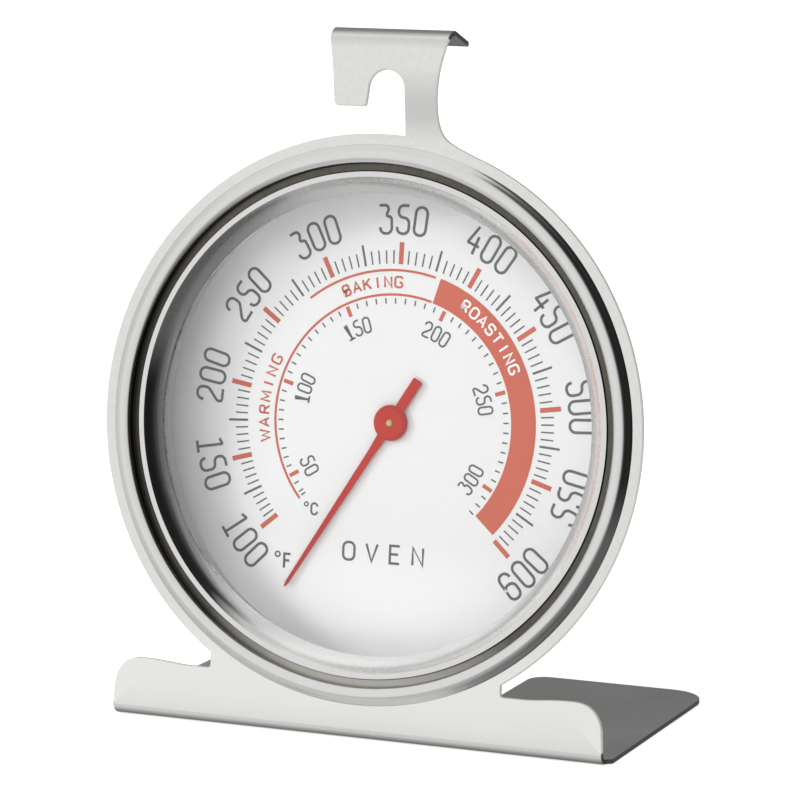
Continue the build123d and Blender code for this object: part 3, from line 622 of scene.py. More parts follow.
# painted reflection: the groove is given a dark colour standing in for the dark room it reflects
M_GROOVE = metal("bezel_groove_painted_dark", (0.125, 0.118, 0.10), 0.30, grain=(900, 900, 900), spread=0.08, bumpy=0.000008, wear=0.15, shade="groove")
M_LIP = metal("bezel_lip_steel", (0.78, 0.78, 0.77), 0.27, grain=(300, 300, 300), spread=0.02, bumpy=0.000002, wear=0.02, shade="lip")
M_BEZEL = metal("bezel_polished_steel", (0.765, 0.765, 0.755), 0.055, grain=(300, 300, 300), spread=0.015, bumpy=0.000002, wear=0.02, shade="bead")
M_CUP = metal("cup_steel", (0.72, 0.72, 0.70), 0.30, grain=(2600, 2600, 2600), spread=0.06, bumpy=0.00001)
M_SPACER = metal("spacer_steel", (0.58, 0.59, 0.59), 0.55, grain=(1500, 1500, 1500), spread=0.05, bumpy=0.00001, metallic=0.35)
M_BRASS = metal("turned_brass", (0.80, 0.58, 0.26), 0.24, grain=(2500, 2500, 2500), spread=0.06, bumpy=0.000008)
M_PIN = metal("pin_steel_surface", (0.62, 0.62, 0.61), 0.26, grain=(2500, 2500, 2500), spread=0.06, bumpy=0.000008)
M_BIMETAL = metal("bimetal_strip", (0.62, 0.54, 0.42), 0.30, grain=(1500, 1500, 400), spread=0.08, bumpy=0.00001, wear=0.12)
M_DIAL = paint("dial_enamel", (0.757, 0.754, 0.755), 0.34, peel=0.000006, vary=0.008, coat=0.15)
# painted light and shade on the dial: lighter towards the bottom, darker at the left edge, a little lighter left of
# the middle and at the right
toned(M_DIAL, 2, (CENTRE_H - 34) * 0.001, (CENTRE_H - 20) * 0.001, 1.21, 1.0)
toned(M_DIAL, 0, -0.037, -0.026, 0.76, 1.0)
toned(M_DIAL, 0, -0.026, -0.010, 1.06, 1.0)
toned(M_DIAL, 0, 0.022, 0.034, 1.0, 1.06)
M_RED = paint("pointer_red_paint", (0.44, 0.020, 0.012), 0.40, peel=0.00001, vary=0.04, coat=0.0, spec=0.2)
M_INK_RED = paint("ink_red", (0.54, 0.102, 0.058), 0.45, peel=0.000003, vary=0.03)
M_INK_DARK = paint("ink_dark", (0.105, 0.108, 0.11), 0.45, peel=0.000003, vary=0.05)
M_INK_WHITE = paint("ink_white", (0.87, 0.86, 0.84), 0.45, peel=0.000003, vary=0.02)


def glass_material():
    """Clear flat pane: reflections of both faces added at the front, faint edge tint, lamps pass straight through."""
    m = bpy.data.materials.new("lens_glass_surface")
    m.use_nodes = True
    nt = m.node_tree
    nt.nodes.clear()
    out = nt.nodes.new("ShaderNodeOutputMaterial")
    tr = nt.nodes.new("ShaderNodeBsdfTransparent")
    tr.inputs[0].default_value = (0.978, 0.982, 0.98, 1)
    gl = nt.nodes.new("ShaderNodeBsdfGlossy")
    gl.inputs["Roughness"].default_value = 0.012
    smudge = noise(nt, coords(nt, (55, 55, 55)), 1.0, 4.0)
    nt.links.new(ramp(nt, smudge, 0.004, 0.03), gl.inputs["Roughness"])
    fr = nt.nodes.new("ShaderNodeFresnel")
    fr.inputs["IOR"].default_value = 1.5
    two = nt.nodes.new("ShaderNodeMath")
    two.operation = "MULTIPLY"
    two.inputs[1].default_value = 1.7
    nt.links.new(fr.outputs[0], two.inputs[0])
    geo = nt.nodes.new("ShaderNodeNewGeometry")
    front = nt.nodes.new("ShaderNodeMath")
    front.operation = "SUBTRACT"
    front.inputs[0].default_value = 1.0
    nt.links.new(geo.outputs["Backfacing"], front.inputs[1])
    fac = nt.nodes.new("ShaderNodeMath")
    fac.operation = "MULTIPLY"
    fac.use_clamp = True
    nt.links.new(two.outputs[0], fac.inputs[0])
    nt.links.new(front.outputs[0], fac.inputs[1])
    lp = nt.nodes.new("ShaderNodeLightPath")
    see = nt.nodes.new("ShaderNodeMath")
    see.operation = "SUBTRACT"
    see.inputs[0].default_value = 1.0
    nt.links.new(lp.outputs["Is Shadow Ray"], see.inputs[1])
    fac2 = nt.nodes.new("ShaderNodeMath")
    fac2.operation = "MULTIPLY"
    nt.links.new(fac.outputs[0], fac2.inputs[0])
    nt.links.new(see.outputs[0], fac2.inputs[1])
    mix = nt.nodes.new("ShaderNodeMixShader")
    nt.links.new(fac2.outputs[0], mix.inputs[0])
    nt.links.new(tr.outputs[0], mix.inputs[1])
    nt.links.new(gl.outputs[0], mix.inputs[2])
    nt.links.new(mix.outputs[0], out.inputs[0])
    return m


M_GLASS = glass_material()

# ---------------------------------------------------------------------------
# 1. front frame: one sheet drawn unfolded, then folded at the lip and the foot
# ---------------------------------------------------------------------------
bend_len = BEND_R * (1 + SB) / CB
panel_end = -CENTRE_H / CB + bend_len
sweep = radians(90 + LEAN)
mid_r = BEND_R - SHEET / 2
LB = mid_r * sweep
top_z = HOOK_TOP - LIP_R
la = radians(LIP_DOWN)
end_a = radians(90 + LIP_DOWN)
LL = (LIP_R - SHEET / 2) * end_a
bend_cy, bend_cz = FRONT_Y + bend_len, BEND_R
foot_start = bend_cy + BEND_R * cos(pi - B + sweep)
rear = FRONT_Y + FOOT_LEN


def foot_v(y):
    """Height in the unfolded sheet of a point of the foot at depth y in the row frame."""
    return panel_end - LB - (y - foot_start)


def fold(v, nn):
    """Unfolded (u, v, t) to the row frame in mm, with normals."""
    u, w, t = v[:, 0], v[:, 1], v[:, 2]
    pos, tan_v, dep = np.zeros((len(v), 3)), np.zeros((len(v), 3)), np.zeros((len(v), 3))
    X = np.array([1.0, 0, 0])
    flat = (w <= top_z) & (w >= panel_end)
    pos[flat] = W(np.stack([u, t, w], 1)[flat])
    tan_v[flat], dep[flat] = WD([0, 0, 1.0]), WD([0, 1.0, 0])
    # foot bend
    z = (w < panel_end) & (w >= panel_end - LB)
    a = (panel_end - w) / LB * sweep
    th = pi - B + a
    pos[z] = np.stack([u, bend_cy + (BEND_R - t) * np.cos(th), bend_cz + (BEND_R - t) * np.sin(th)], 1)[z]
    tan_v[z] = np.stack([0 * u, np.sin(th), -np.cos(th)], 1)[z]
    dep[z] = np.stack([0 * u, -np.cos(th), -np.sin(th)], 1)[z]
    # foot
    z = w < panel_end - LB
    s = panel_end - LB - w
    pos[z] = np.stack([u, foot_start + s, t], 1)[z]
    tan_v[z], dep[z] = [0, -1.0, 0], [0, 0, 1.0]
    # lip bend and tail, in the plate frame
    z = (w > top_z) & (w <= top_z + LL)
    a = (w - top_z) / LL * end_a
    pos[z] = W(np.stack([u, LIP_R - (LIP_R - t) * np.cos(a), top_z + (LIP_R - t) * np.sin(a)], 1)[z])
    tan_v[z] = WD(np.stack([0 * u, np.sin(a), np.cos(a)], 1)[z])
    dep[z] = WD(np.stack([0 * u, np.cos(a), -np.sin(a)], 1)[z])
    z = w > top_z + LL
    s = w - top_z - LL
    pos[z] = W(np.stack([u, LIP_R - (LIP_R - t) * cos(end_a) + s * cos(la), top_z + (LIP_R - t) * sin(end_a) - s * sin(la)], 1)[z])
    tan_v[z], dep[z] = WD([0, cos(la), -sin(la)]), WD([0, cos(end_a), -sin(end_a)])
    nrm = nn[:, :1] * X + nn[:, 1:2] * tan_v + nn[:, 2:3] * dep
    return pos, nrm


def seq(*parts):
    out = []
    for part in parts:
        for p in part:
            p = (float(p[0]), float(p[1]))
            if not out or hypot(out[-1][0] - p[0], out[-1][1] - p[1]) > 1e-4:
                out.append(p)
    return out


def corner(p0, p, p1, r, seg=6):
    """Points of a rounded corner at p between p0 and p1."""
    p0, p, p1 = map(lambda q_: np.array(q_, float), (p0, p, p1))
    d0, d1 = unit(p - p0), unit(p1 - p)
    ang = atan2(d0[0] * d1[1] - d0[1] * d1[0], float(d0 @ d1))
    t = r * tan(abs(ang) / 2)
    s = 1 if ang > 0 else -1
    n0 = np.array([d0[1], -d0[0]])
    c = p - d0 * t - n0 * r * s
    out = []
    k_max = max(2, int(math.ceil(seg * abs(ang) / (pi / 2))))
    for k in range(k_max + 1):
        a = ang * k / k_max
        nk = np.array([n0[0] * cos(a) - n0[1] * sin(a), n0[0] * sin(a) + n0[1] * cos(a)])
        out.append(tuple(c + nk * r * s))
    return out


FB_ROWS = [panel_end - LB * i / 12 for i in range(13)]
LIP_ROWS = [top_z + LL * i / 16 for i in range(17)]
bw = PANEL_W + 0.2


def side_foot(sgn):
    """Foot, bend, panel and ear outline of one side, from the notch's middle up to the ring, for the right side."""
    nv, rv, fv = foot_v(NOTCH_Y), foot_v(rear), panel_end - LB
    pts = [(0, nv)]
    pts += corner((0, nv), (NOTCH_W, nv), (NOTCH_W, rv), NOTCH_CORNER, 10)
    pts += corner((NOTCH_W, nv), (NOTCH_W, rv), (FOOT_W, rv), 3.2, 8)
    pts += corner((NOTCH_W, rv), (FOOT_W, rv), (FOOT_W, fv), FOOT_CORNER, 12)
    pts += corner((FOOT_W, rv), (FOOT_W, fv - 0.7), (bw, fv), 0.35, 3)
    pts += corner((FOOT_W, fv - 0.7), (bw, fv), (bw, 0), 0.35, 3)[:-1]
    pts += [(bw, r) for r in reversed(FB_ROWS)]
    ear = spline([(PANEL_W, -46.3), (PANEL_W - 0.62, -43.6), (PANEL_W - 2.3, -41.75), (37.8, EAR_Z)], 22, (0, 1), (-1, 0))
    top = spline([(37.8, EAR_Z), (33.6, EAR_Z - 0.2), (29.4, NECK_Z)], 14, (-1, 0), (-1, 0))
    pts += [tuple(p) for p in ear] + [tuple(p) for p in top[1:]]
    x_neck = NECK_W + sgn * FOOT_X
    zr = -sqrt(RING_R**2 - x_neck**2)
    pts += corner((29.4, NECK_Z), (NECK_W, NECK_Z), (NECK_W, zr), 0.5, 4)
    return [(sgn * x + FOOT_X, z) for x, z in pts], (sgn * NECK_W + FOOT_X, zr)


rp, r_end = side_foot(1)
lp_, l_end = side_foot(-1)
ang = lambda x, z: degrees(atan2(z, x))
stem_x = 4.4957
r_arc = arc((0, 0), RING_R, ang(*r_end), ang(17.8, sqrt(RING_R**2 - 17.8**2)), 110)
l_arc = arc((0, 0), RING_R, ang(stem_x, sqrt(RING_R**2 - stem_x**2)), ang(*l_end) + 360, 180)
stem_r = spline([(17.8, sqrt(RING_R**2 - 17.8**2) - 0.02), (13.9, 45.15), (11.2, 46.9), (9.85, 50.2), (9.55, 54.2), (9.95, 58.0),
                 (HOOK_RIGHT, top_z)], 50, (-1.0, 0.40), (0.3, 1.0))
lip_r = [(HOOK_RIGHT + LIP_FLARE * sin(min((r - top_z) / LL * end_a, pi / 2)), r) for r in LIP_ROWS]
v_end = top_z + LL + LIP_TAIL
tail_r = corner(lip_r[-1], (HOOK_RIGHT + LIP_FLARE, v_end), (HOOK_LEFT, v_end), 0.35, 4)
tail_l = corner((HOOK_RIGHT, v_end), (HOOK_LEFT, v_end), (HOOK_LEFT, 0), 0.35, 4)
lip_l = [(HOOK_LEFT, r) for r in reversed(LIP_ROWS)]
prong_l = spline([(HOOK_LEFT, top_z), (-8.85, 59.0), (-8.5, 55.6), (-8.2, PRONG_Z + 0.8)], 16, (0.13, -1), (0.07, -1))
prong = corner((-8.2, 56), (-8.2, PRONG_Z), (-3, PRONG_Z), 0.8, 6) + corner((-8, PRONG_Z), (-2.6, PRONG_Z), (-2.25, RACK_Z), 0.5, 5)
notch = arc((RACK_X, RACK_Z), RACK_R, 180, 0, 28)
stem_l = corner((RACK_X + RACK_R, RACK_Z), (stem_x, sqrt(RING_R**2 - stem_x**2)), (0, 46.95), 0.35, 4)
outline = seq(rp, [r_end], r_arc, stem_r, lip_r, tail_r, tail_l, lip_l, prong_l, prong, notch, stem_l, l_arc[1:], [l_end], list(reversed(lp_)))
if hypot(outline[0][0] - outline[-1][0], outline[0][1] - outline[-1][1]) < 1e-4:
    outline = outline[:-1]
OP = np.array(outline)
ON = loop_normals(OP)
if area2(OP) < 0:
    OP = OP[::-1].copy()
    ON = loop_normals(OP)
# the bends' side edges are straight across the fold, so their normals stay level
for i, p in enumerate(OP):
    if p[1] > top_z - 0.01 and p[1] < v_end - 0.5 or (panel_end - LB + 0.01 < p[1] < panel_end - 0.01):
        ON[i] = (1.0, 0.0) if ON[i][0] > 0 else (-1.0, 0.0)
hole = circle_loop(0, 0, COLLAR_R + 0.02, 240)
g = Geo()
rows = [(r, 1e-4) for r in FB_ROWS] + [(r, 1e-4) for r in LIP_ROWS]
# cut edges: the pale copy on the panel and the start of the lip's bend, the dark painted-shade copy on the foot, the
# rest of the lip and its tail
slab(g, [(OP, ON), hole], 0, SHEET, rf=0.2, rb=0.07, k=3, rows=rows, to3=fold,
     edge=lambda u, v: 1 if panel_end - 0.05 < v < top_z + 0.6 else 2)
# drawn collar that grips the cup, blended into the sheet's back
cp, cn = rounded([(COLLAR_R, 0.45), (COLLAR_R + 2.4, 0.45), (COLLAR_R + 2.4, SHEET + 0.01), (COLLAR_R + SHEET, SHEET + 0.01),
                  (COLLAR_R + SHEET, COLLAR_Y), (COLLAR_R, COLLAR_Y)], [0, 0, 0, 0.9, 0.2, 0.2], 6)
gc = Geo()
revolve(gc, cp, cn, 256)
vv, nv_ = W(np.concatenate(gc.v)), WD(np.concatenate(gc.n))
g.add(vv, nv_, gc.f)
front_sheet = g.make("front_sheet", [M_SHEET, M_EDGE, M_EDGE_DARK], world=True)
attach(front_sheet, "case")
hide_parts("front_frame")

# ---------------------------------------------------------------------------
# 2. bezel
# ---------------------------------------------------------------------------
bead = spline([(RIM_R - 0.02, -0.03), (45.05, -0.30), (44.72, -0.59), (44.27, -0.99), (43.92, -1.18), (43.5, -1.25), (43.1, -1.20),
               (42.72, -1.06), (42.45, -0.86), (42.30, -0.60), (42.25, -0.20), (42.24, 0.28)], 46)
lip = spline([(40.02, 0.14), (39.75, 0.45), (39.3, 1.00), (38.8, 1.50), (38.4, 1.84), (37.62, 2.44)], 14)
low = [(37.62, 3.26), (37.95, 3.28), (38.5, 2.60), (39.3, 1.85), (39.85, 1.15), (40.2, 0.60), (40.35, 0.42), (40.90, 0.42), (40.98, 0.80),
       (42.42, 0.80), (42.42, -0.52), (42.62, -0.84), (43.1, -0.98), (43.5, -1.02), (43.95, -0.94), (44.30, -0.74), (44.70, -HEM_T),
       (43.2, -HEM_T), (43.2, 0), (RIM_R - 0.03, 0)]
pts = [tuple(p) for p in bead] + [(42.22, 0.42), (41.12, 0.42), (40.98, 0.05), (40.10, 0.05)] + [tuple(p) for p in lip] + low
rad = [0.0005] * len(bead) + [0.08, 0.08, 0.08, 0.07] + [0.0005] * len(lip) + [0.1] + [0.05] * (len(low) - 2) + [0.02]
rad[len(bead) + 4 + len(lip) - 1] = 0.12
bp, bnn = merged(*rounded(pts, rad, 4))
g = Geo()
# painted reflection: the groove's faces (index 1) take the dark groove material; the lip (2) and bead (0) carry theirs
# in their shaders
revolve(g, bp, bnn, 320, pick=lambda r, y: 1 if 41.0 < r < 42.40 and -0.82 < y < 0.43 else 2 if r < 40.16 else 0)
bezel = g.make("bezel_bead", [M_BEZEL, M_GROOVE, M_LIP])
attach(bezel, "case")
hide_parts("bezel_ring")

# ---------------------------------------------------------------------------
# 3. cup: turned wall, and a back with vents and rivet holes
# ---------------------------------------------------------------------------
ri_f, ri_r = CUP_R - CUP_T, CUP_REAR_R - CUP_T
JOIN_R = CUP_REAR_R - 3.2
cup_pts = [
    (42.46, -0.62), (FLANGE_R, -0.62), (FLANGE_R, -HEM_T - 0.02), (CUP_R, -HEM_T - 0.02), (CUP_R, CUP_STEP_Y + CUP_T),
    (CUP_REAR_R, CUP_STEP_Y + CUP_T), (CUP_REAR_R, CUP_BACK_Y), (JOIN_R, CUP_BACK_Y), (JOIN_R, CUP_BACK_Y - CUP_T),
    (ri_r, CUP_BACK_Y - CUP_T), (ri_r, CUP_STEP_Y), (ri_f, CUP_STEP_Y), (ri_f, 1.25), (42.46, 0.84)]
cp, cn = rounded(cup_pts, [0.04, 0.05, 0.0, 0.0, 0.7, 0.6, 2.5, 0, 0, 2.0, 0.15, 0.15, 0.1, 0.1], 8)
g = Geo()
revolve(g, cp, cn, 256)
loops = [circle_loop(0, 0, JOIN_R, 256, hole=False), circle_loop(0, 0, 2.5, 48)]
for k in range(VENT_N):
    a = 2 * pi * (k + 0.5) / VENT_N
    loops.append(circle_loop(VENT_PCR * sin(a), VENT_PCR * cos(a), VENT_R, 48))
for s in (-1, 1):
    loops.append(circle_loop(s * RIVET_X, 0, RIVET_R, 36))
# the outer rim has no rounding, so it meets the turned wall
back_loops = [(loops[0][0] + loops[0][1] * 0.06, loops[0][1])] + loops[1:]
slab(g, back_loops, CUP_BACK_Y - CUP_T, CUP_BACK_Y, rf=0.06, rb=0.06, k=2)
cup = g.make("case_shell", M_CUP)
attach(cup, "case")
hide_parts("case_cup")

# ---------------------------------------------------------------------------
# 4. glass, spacer, dial
# ---------------------------------------------------------------------------
gp, gn = rounded([(0, GLASS_Y0), (GLASS_R, GLASS_Y0), (GLASS_R, GLASS_Y1), (0, GLASS_Y1)], [0, 0.3, 0.3, 0], 4)
g = Geo()
revolve(g, gp, gn, 256)
glass = g.make("front_glass", M_GLASS)
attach(glass, "case")
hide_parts("glass_lens")

sp, sn = rounded([
    (SPACER_RI, GLASS_Y1), (SPACER_RO, GLASS_Y1), (SPACER_RO, GLASS_Y1 + SPACER_T), (SPACER_RI + SPACER_T, GLASS_Y1 + SPACER_T),
    (SPACER_RI + SPACER_T, DIAL_Y0 - SPACER_T), (SPACER_RO, DIAL_Y0 - SPACER_T), (SPACER_RO, DIAL_Y0), (SPACER_RI, DIAL_Y0)],
    [0.3, 0.06, 0.06, 0.15, 0.15, 0.06, 0.06, 0.3], 4)
g = Geo()
revolve(g, sp, sn, 256)
spacer = g.make("inner_wall", M_SPACER)
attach(spacer, "case")
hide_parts("spacer_ring")

dp, dn = rounded([(DIAL_HOLE, DIAL_Y0), (DIAL_R, DIAL_Y0), (DIAL_R, DIAL_Y0 + DIAL_T), (DIAL_HOLE, DIAL_Y0 + DIAL_T)], 0.08, 3)
g = Geo()
revolve(g, dp, dn, 256)
dial = g.make("dial_face", M_DIAL)
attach(dial, "case")
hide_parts("dial_plate")

# ---------------------------------------------------------------------------
# 5. dial printing: a thin film of ink, drawn with strokes
# ---------------------------------------------------------------------------
R0 = RING_R
F_MARK = [100, 150, 200, 250, 300, 350, 400, 450, 500, 550, 600]
F_ANG = [-129.8, -105.53, -80.1, -53.86, -26.71, 0.7, 28.62, 55.04, 81.76, 107.33, 133.55]
INK_LIFT, INK_T = 0.03, 0.05


def f_angle(t):
    return float(np.interp(t, F_MARK, F_ANG))


def c_angle(t):
    return f_angle(t * 9 / 5 + 32)


def at(r, a):
    a = radians(a)
    return (r * sin(a), r * cos(a))


class Ink:
    def __init__(self):
        self.g = Geo()

    def poly(self, loops, lift=0.0):
        """A flat patch from closed loops of (x, z) points; further loops are holes."""
        loops = [np.array(lp, float) for lp in loops]
        tris = tessellate_polygon([[Vector((p[0], p[1], 0)) for p in lp] for lp in loops])
        P = np.concatenate(loops)
        n = len(P)
        y0, y1 = DIAL_Y0 - INK_LIFT - lift, DIAL_Y0 - INK_LIFT - lift + INK_T
        top = np.stack([P[:, 0], np.full(n, y0), P[:, 1]], 1)
        bot = np.stack([P[:, 0], np.full(n, y1), P[:, 1]], 1)
        self.g.add(top, np.tile([0, -1.0, 0], (n, 1)), [tuple(t) for t in tris])
        self.g.add(bot, np.tile([0, 1.0, 0], (n, 1)), [tuple(t) for t in tris])
        off = 0
        for i, lp in enumerate(loops):
            c = len(lp)
            N = loop_normals(lp)
            if (area2(lp) < 0) == (i == 0):
                N = -N
            v = np.concatenate([top[off:off + c], bot[off:off + c]])
            nn = np.stack([N[:, 0], np.zeros(c), N[:, 1]], 1)
            self.g.add(v, np.concatenate([nn, nn]), [(j, (j + 1) % c, (j + 1) % c + c, j + c) for j in range(c)])
            off += c

    def stroke(self, path, w, closed=False, lift=0.0):
        P = np.array(path, float)
        if closed:
            N = loop_normals(P)
            self.poly([P + N * w / 2, P - N * w / 2] if area2(P) > 0 else [P - N * w / 2, P + N * w / 2], lift)
            return
        d = unit(np.diff(P, axis=0))
        n = np.stack([d[:, 1], -d[:, 0]], 1)
        N = np.concatenate([n[:1], unit(n[:-1] + n[1:]), n[-1:]])
        # keep the stroke's width through a bend
        k = np.ones(len(P))
        k[1:-1] = 1 / np.maximum(np.sum(N[1:-1] * n[1:], 1), 0.6)
        N = N * k[:, None]
        self.poly([np.concatenate([P + N * w / 2, (P - N * w / 2)[::-1]])], lift)


def soften(path, r, seg=5, closed=False):
    """Round the corners of an open or closed path."""
    P = [np.array(p, float) for p in path]
    n = len(P)
    out = []
    for i in range(n):
        if not closed and i in (0, n - 1):
            out.append(P[i])
            continue
        p0, p, p1 = P[i - 1], P[i], P[(i + 1) % n]
        d0, d1 = p - p0, p1 - p
        l0, l1 = np.linalg.norm(d0), np.linalg.norm(d1)
        d0, d1 = d0 / l0, d1 / l1
        a = atan2(d0[0] * d1[1] - d0[1] * d1[0], float(d0 @ d1))
        if abs(a) < 0.05:
            out.append(p)
            continue
        e0 = l0 if (not closed and i == 1) else l0 / 2
        e1 = l1 if (not closed and i == n - 2) else l1 / 2
        rr = min(r, 0.98 * min(e0, e1) / tan(abs(a) / 2))
        t = rr * tan(abs(a) / 2)
        s = 1 if a > 0 else -1
        n0 = np.array([d0[1], -d0[0]])
        c = p - d0 * t - n0 * rr * s
        kk = max(2, int(math.ceil(seg * abs(a) / (pi / 2))))
        for j in range(kk + 1):
            b_ = a * j / kk
            nk = np.array([n0[0] * cos(b_) - n0[1] * sin(b_), n0[0] * sin(b_) + n0[1] * cos(b_)])
            out.append(c + nk * rr * s)
    return out


# glyphs in a box one wide and one high about its middle: (points, corner radius as a share of the width, closed)
G = {
    "0": [([(-.5, -.5), (.5, -.5), (.5, .5), (-.5, .5)], .5, True)],
    "1": [([(-.42, .40), (.06, .5), (.06, -.5)], .06, False), ([(-.44, -.5), (.56, -.5)], 0, False)],
    "2": [([(-.5, .24), (-.5, .5), (.5, .5), (.5, .08), (-.5, -.32), (-.5, -.5), (.52, -.5)], .48, False)],
    "3": [([(-.5, .5), (.46, .5), (.02, .10), (.5, .10), (.5, -.5), (-.5, -.5), (-.5, -.27)], .46, False)],
    "4": [([(-.06, .5), (-.5, -.17), (.54, -.17)], .04, False), ([(.22, .16), (.22, -.5)], 0, False)],
    "5": [([(.46, .5), (-.40, .5), (-.44, .07), (.5, .07), (.5, -.5), (-.5, -.5), (-.5, -.27)], .45, False)],
    "6": [([(.46, .27), (.46, .5), (-.5, .5), (-.5, -.5), (.5, -.5), (.5, .07), (-.5, .07), (-.5, -.1)], .46, False)],
    "W": [([(-.6, .5), (-.3, -.5), (0, .3), (.3, -.5), (.6, .5)], 0, False)],
    "A": [([(-.5, -.5), (0, .5), (.5, -.5)], 0, False), ([(-.32, -.17), (.32, -.17)], 0, False)],
    "R": [([(-.45, -.5), (-.45, .5), (.4, .5), (.4, .0), (-.45, .0)], .25, False), ([(.0, .0), (.45, -.5)], 0, False)],
    "M": [([(-.55, -.5), (-.5, .5), (0, -.25), (.5, .5), (.55, -.5)], 0, False)],
    "I": [([(0, -.5), (0, .5)], 0, False)],
    "N": [([(-.45, -.5), (-.45, .5), (.45, -.5), (.45, .5)], 0, False)],
    "G": [([(.45, .3), (.45, .5), (-.5, .5), (-.5, -.5), (.48, -.5), (.48, -.02), (.08, -.02)], .34, False)],
    "B": [([(-.45, -.5), (-.45, .5), (.38, .5), (.38, .03), (-.45, .03)], .24, False),
          ([(-.45, .03), (.46, .03), (.46, -.5), (-.45, -.5)], .26, False)],
    "K": [([(-.45, .5), (-.45, -.5)], 0, False), ([(.45, .5), (-.4, -.08)], 0, False), ([(-.12, .1), (.48, -.5)], 0, False)],
    "O": [([(-.5, -.5), (.5, -.5), (.5, .5), (-.5, .5)], .42, True)],
    "S": [([(.45, .27), (.45, .5), (-.45, .5), (-.45, .03), (.45, .03), (.45, -.5), (-.45, -.5), (-.45, -.27)], .26, False)],
    "T": [([(-.5, .5), (.5, .5)], 0, False), ([(0, .5), (0, -.5)], 0, False)],
    "F": [([(.42, .5), (-.42, .5), (-.42, -.5)], 0, False), ([(-.42, .03), (.3, .03)], 0, False)],
    "C": [([(.46, .22), (.46, .5), (-.46, .5), (-.46, -.5), (.46, -.5), (.46, -.22)], .44, False)],
    "V": [([(-.5, .5), (0, -.5), (.5, .5)], 0, False)],
    "E": [([(.42, .5), (-.42, .5), (-.42, -.5), (.42, -.5)], 0, False), ([(-.42, .02), (.3, .02)], 0, False)],
}
GLYPH_W = {"W": 1.15, "M": 1.0, "I": 0.3}


def glyph(ink, ch, centre, right, up, w, h, sw, lift=0.0):
    if ch in GLYPH_W and ch != "I":
        w = w * GLYPH_W[ch]
    for pts, r, closed in G[ch]:
        P = [(x * w, y * h) for x, y in pts]
        P = soften(P, r * w, 6, closed) if r > 0 else P
        P = [(centre[0] + right[0] * x + up[0] * y, centre[1] + right[1] * x + up[1] * y) for x, y in P]
        ink.stroke(P, sw, closed, lift)


def arc_text(ink, text, r, mid, pitch, w, h, sw, flip=False, lift=0.0):
    n = len(text)
    for i, ch in enumerate(text):
        k = (i - (n - 1) / 2) * pitch
        a = mid - k if flip else mid + k
        t = radians(a)
        s = -1 if flip else 1
        glyph(ink, ch, at(r, a), (s * cos(t), -s * sin(t)), (s * sin(t), s * cos(t)), w, h, sw, lift)


def tick(ink, a, r0, r1, w):
    t = radians(a)
    ux, uz, vx, vz = sin(t), cos(t), cos(t), -sin(t)
    ink.poly([[(ux * r0 - vx * w / 2, uz * r0 - vz * w / 2), (ux * r0 + vx * w / 2, uz * r0 + vz * w / 2),
               (ux * r1 + vx * w / 2, uz * r1 + vz * w / 2), (ux * r1 - vx * w / 2, uz * r1 - vz * w / 2)]])


def sector(ink, r0, r1, a0, a1):
    n = max(8, int(abs(a1 - a0) / 1.2))
    A = np.linspace(a0, a1, n)
    ink.poly([[at(r1, a) for a in A] + [at(r0, a) for a in A[::-1]]])


dark, red, white = Ink(), Ink(), Ink()
for i in range(len(F_MARK)):
    tick(red, F_ANG[i], 0.5529 * R0, 0.6293 * R0, 0.80)
    if i + 1 < len(F_MARK):
        for k in range(1, 10):
            a = f_angle(F_MARK[i] + 5 * k)
            if k == 5:
                tick(dark, a, 0.5529 * R0, 0.6270 * R0, 0.38)
            else:
                tick(dark, a, 0.5540 * R0, 0.6010 * R0, 0.245)
    flip = F_MARK[i] in (100, 150, 550, 600)
    arc_text(dark, str(F_MARK[i]), 0.708 * R0, F_ANG[i], 5.35, 2.05, 4.62, 0.47, flip)
for c in range(50, 301, 50):
    tick(red, c_angle(c), 0.3990 * R0, 0.4370 * R0, 0.66)
    flip = c in (50, 300)
    arc_text(dark, str(c), 0.3525 * R0, c_angle(c) + (1.2 if c >= 150 else 0), 5.9, 1.15, 2.5, 0.32, flip)
for c in range(35, 316, 5):
    if c % 50:
        tick(dark, c_angle(c), 0.4155 * R0, 0.4350 * R0, 0.25)
sector(red, 0.4425 * R0, 0.4510 * R0, -130.5, 16.6)
sector(red, 0.5275 * R0, 0.5360 * R0, -38.5, 15.2)
sector(red, 0.4440 * R0, 0.5350 * R0, 17.3, 132.6)
arc_text(red, "WARMING", 0.4900 * R0, -82.8, 5.4, 1.35, 1.72, 0.34)
arc_text(red, "BAKING", 0.4905 * R0, -11.5, 4.72, 1.30, 1.72, 0.34)
arc_text(white, "ROASTING", 0.4930 * R0, 47.8, 4.71, 1.30, 1.72, 0.34, lift=0.03)


def flat_text(ink, text, x, z, pitch, w, h, sw):
    for i, ch in enumerate(text):
        glyph(ink, ch, (x + (i - (len(text) - 1) / 2) * pitch, z), (1, 0), (0, 1), w, h, sw)


def degree(ink, x, z, r, sw):
    ink.stroke([(x + r * cos(a), z + r * sin(a)) for a in np.linspace(0, 2 * pi, 20, endpoint=False)], sw, True)


degree(dark, -0.4155 * R0, -0.4930 * R0, 0.42, 0.28)
flat_text(dark, "F", -0.3780 * R0, -0.5150 * R0, 1, 1.30, 2.35, 0.42)
degree(dark, -0.3130 * R0, -0.3080 * R0, 0.34, 0.24)
flat_text(dark, "C", -0.2820 * R0, -0.3230 * R0, 1, 1.15, 1.85, 0.34)
flat_text(dark, "OVEN", -0.012 * R0, -0.4600 * R0, 4.1, 2.0, 2.9, 0.42)
for ink, name, mat, slot in ((dark, "dial_print_dark", M_INK_DARK, "dial_white"), (red, "dial_print_red", M_INK_RED, "pointer_red"),
                             (white, "dial_print_white", M_INK_WHITE, "dial_white")):
    ob = ink.g.make(name, mat)
    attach(ob, "case")

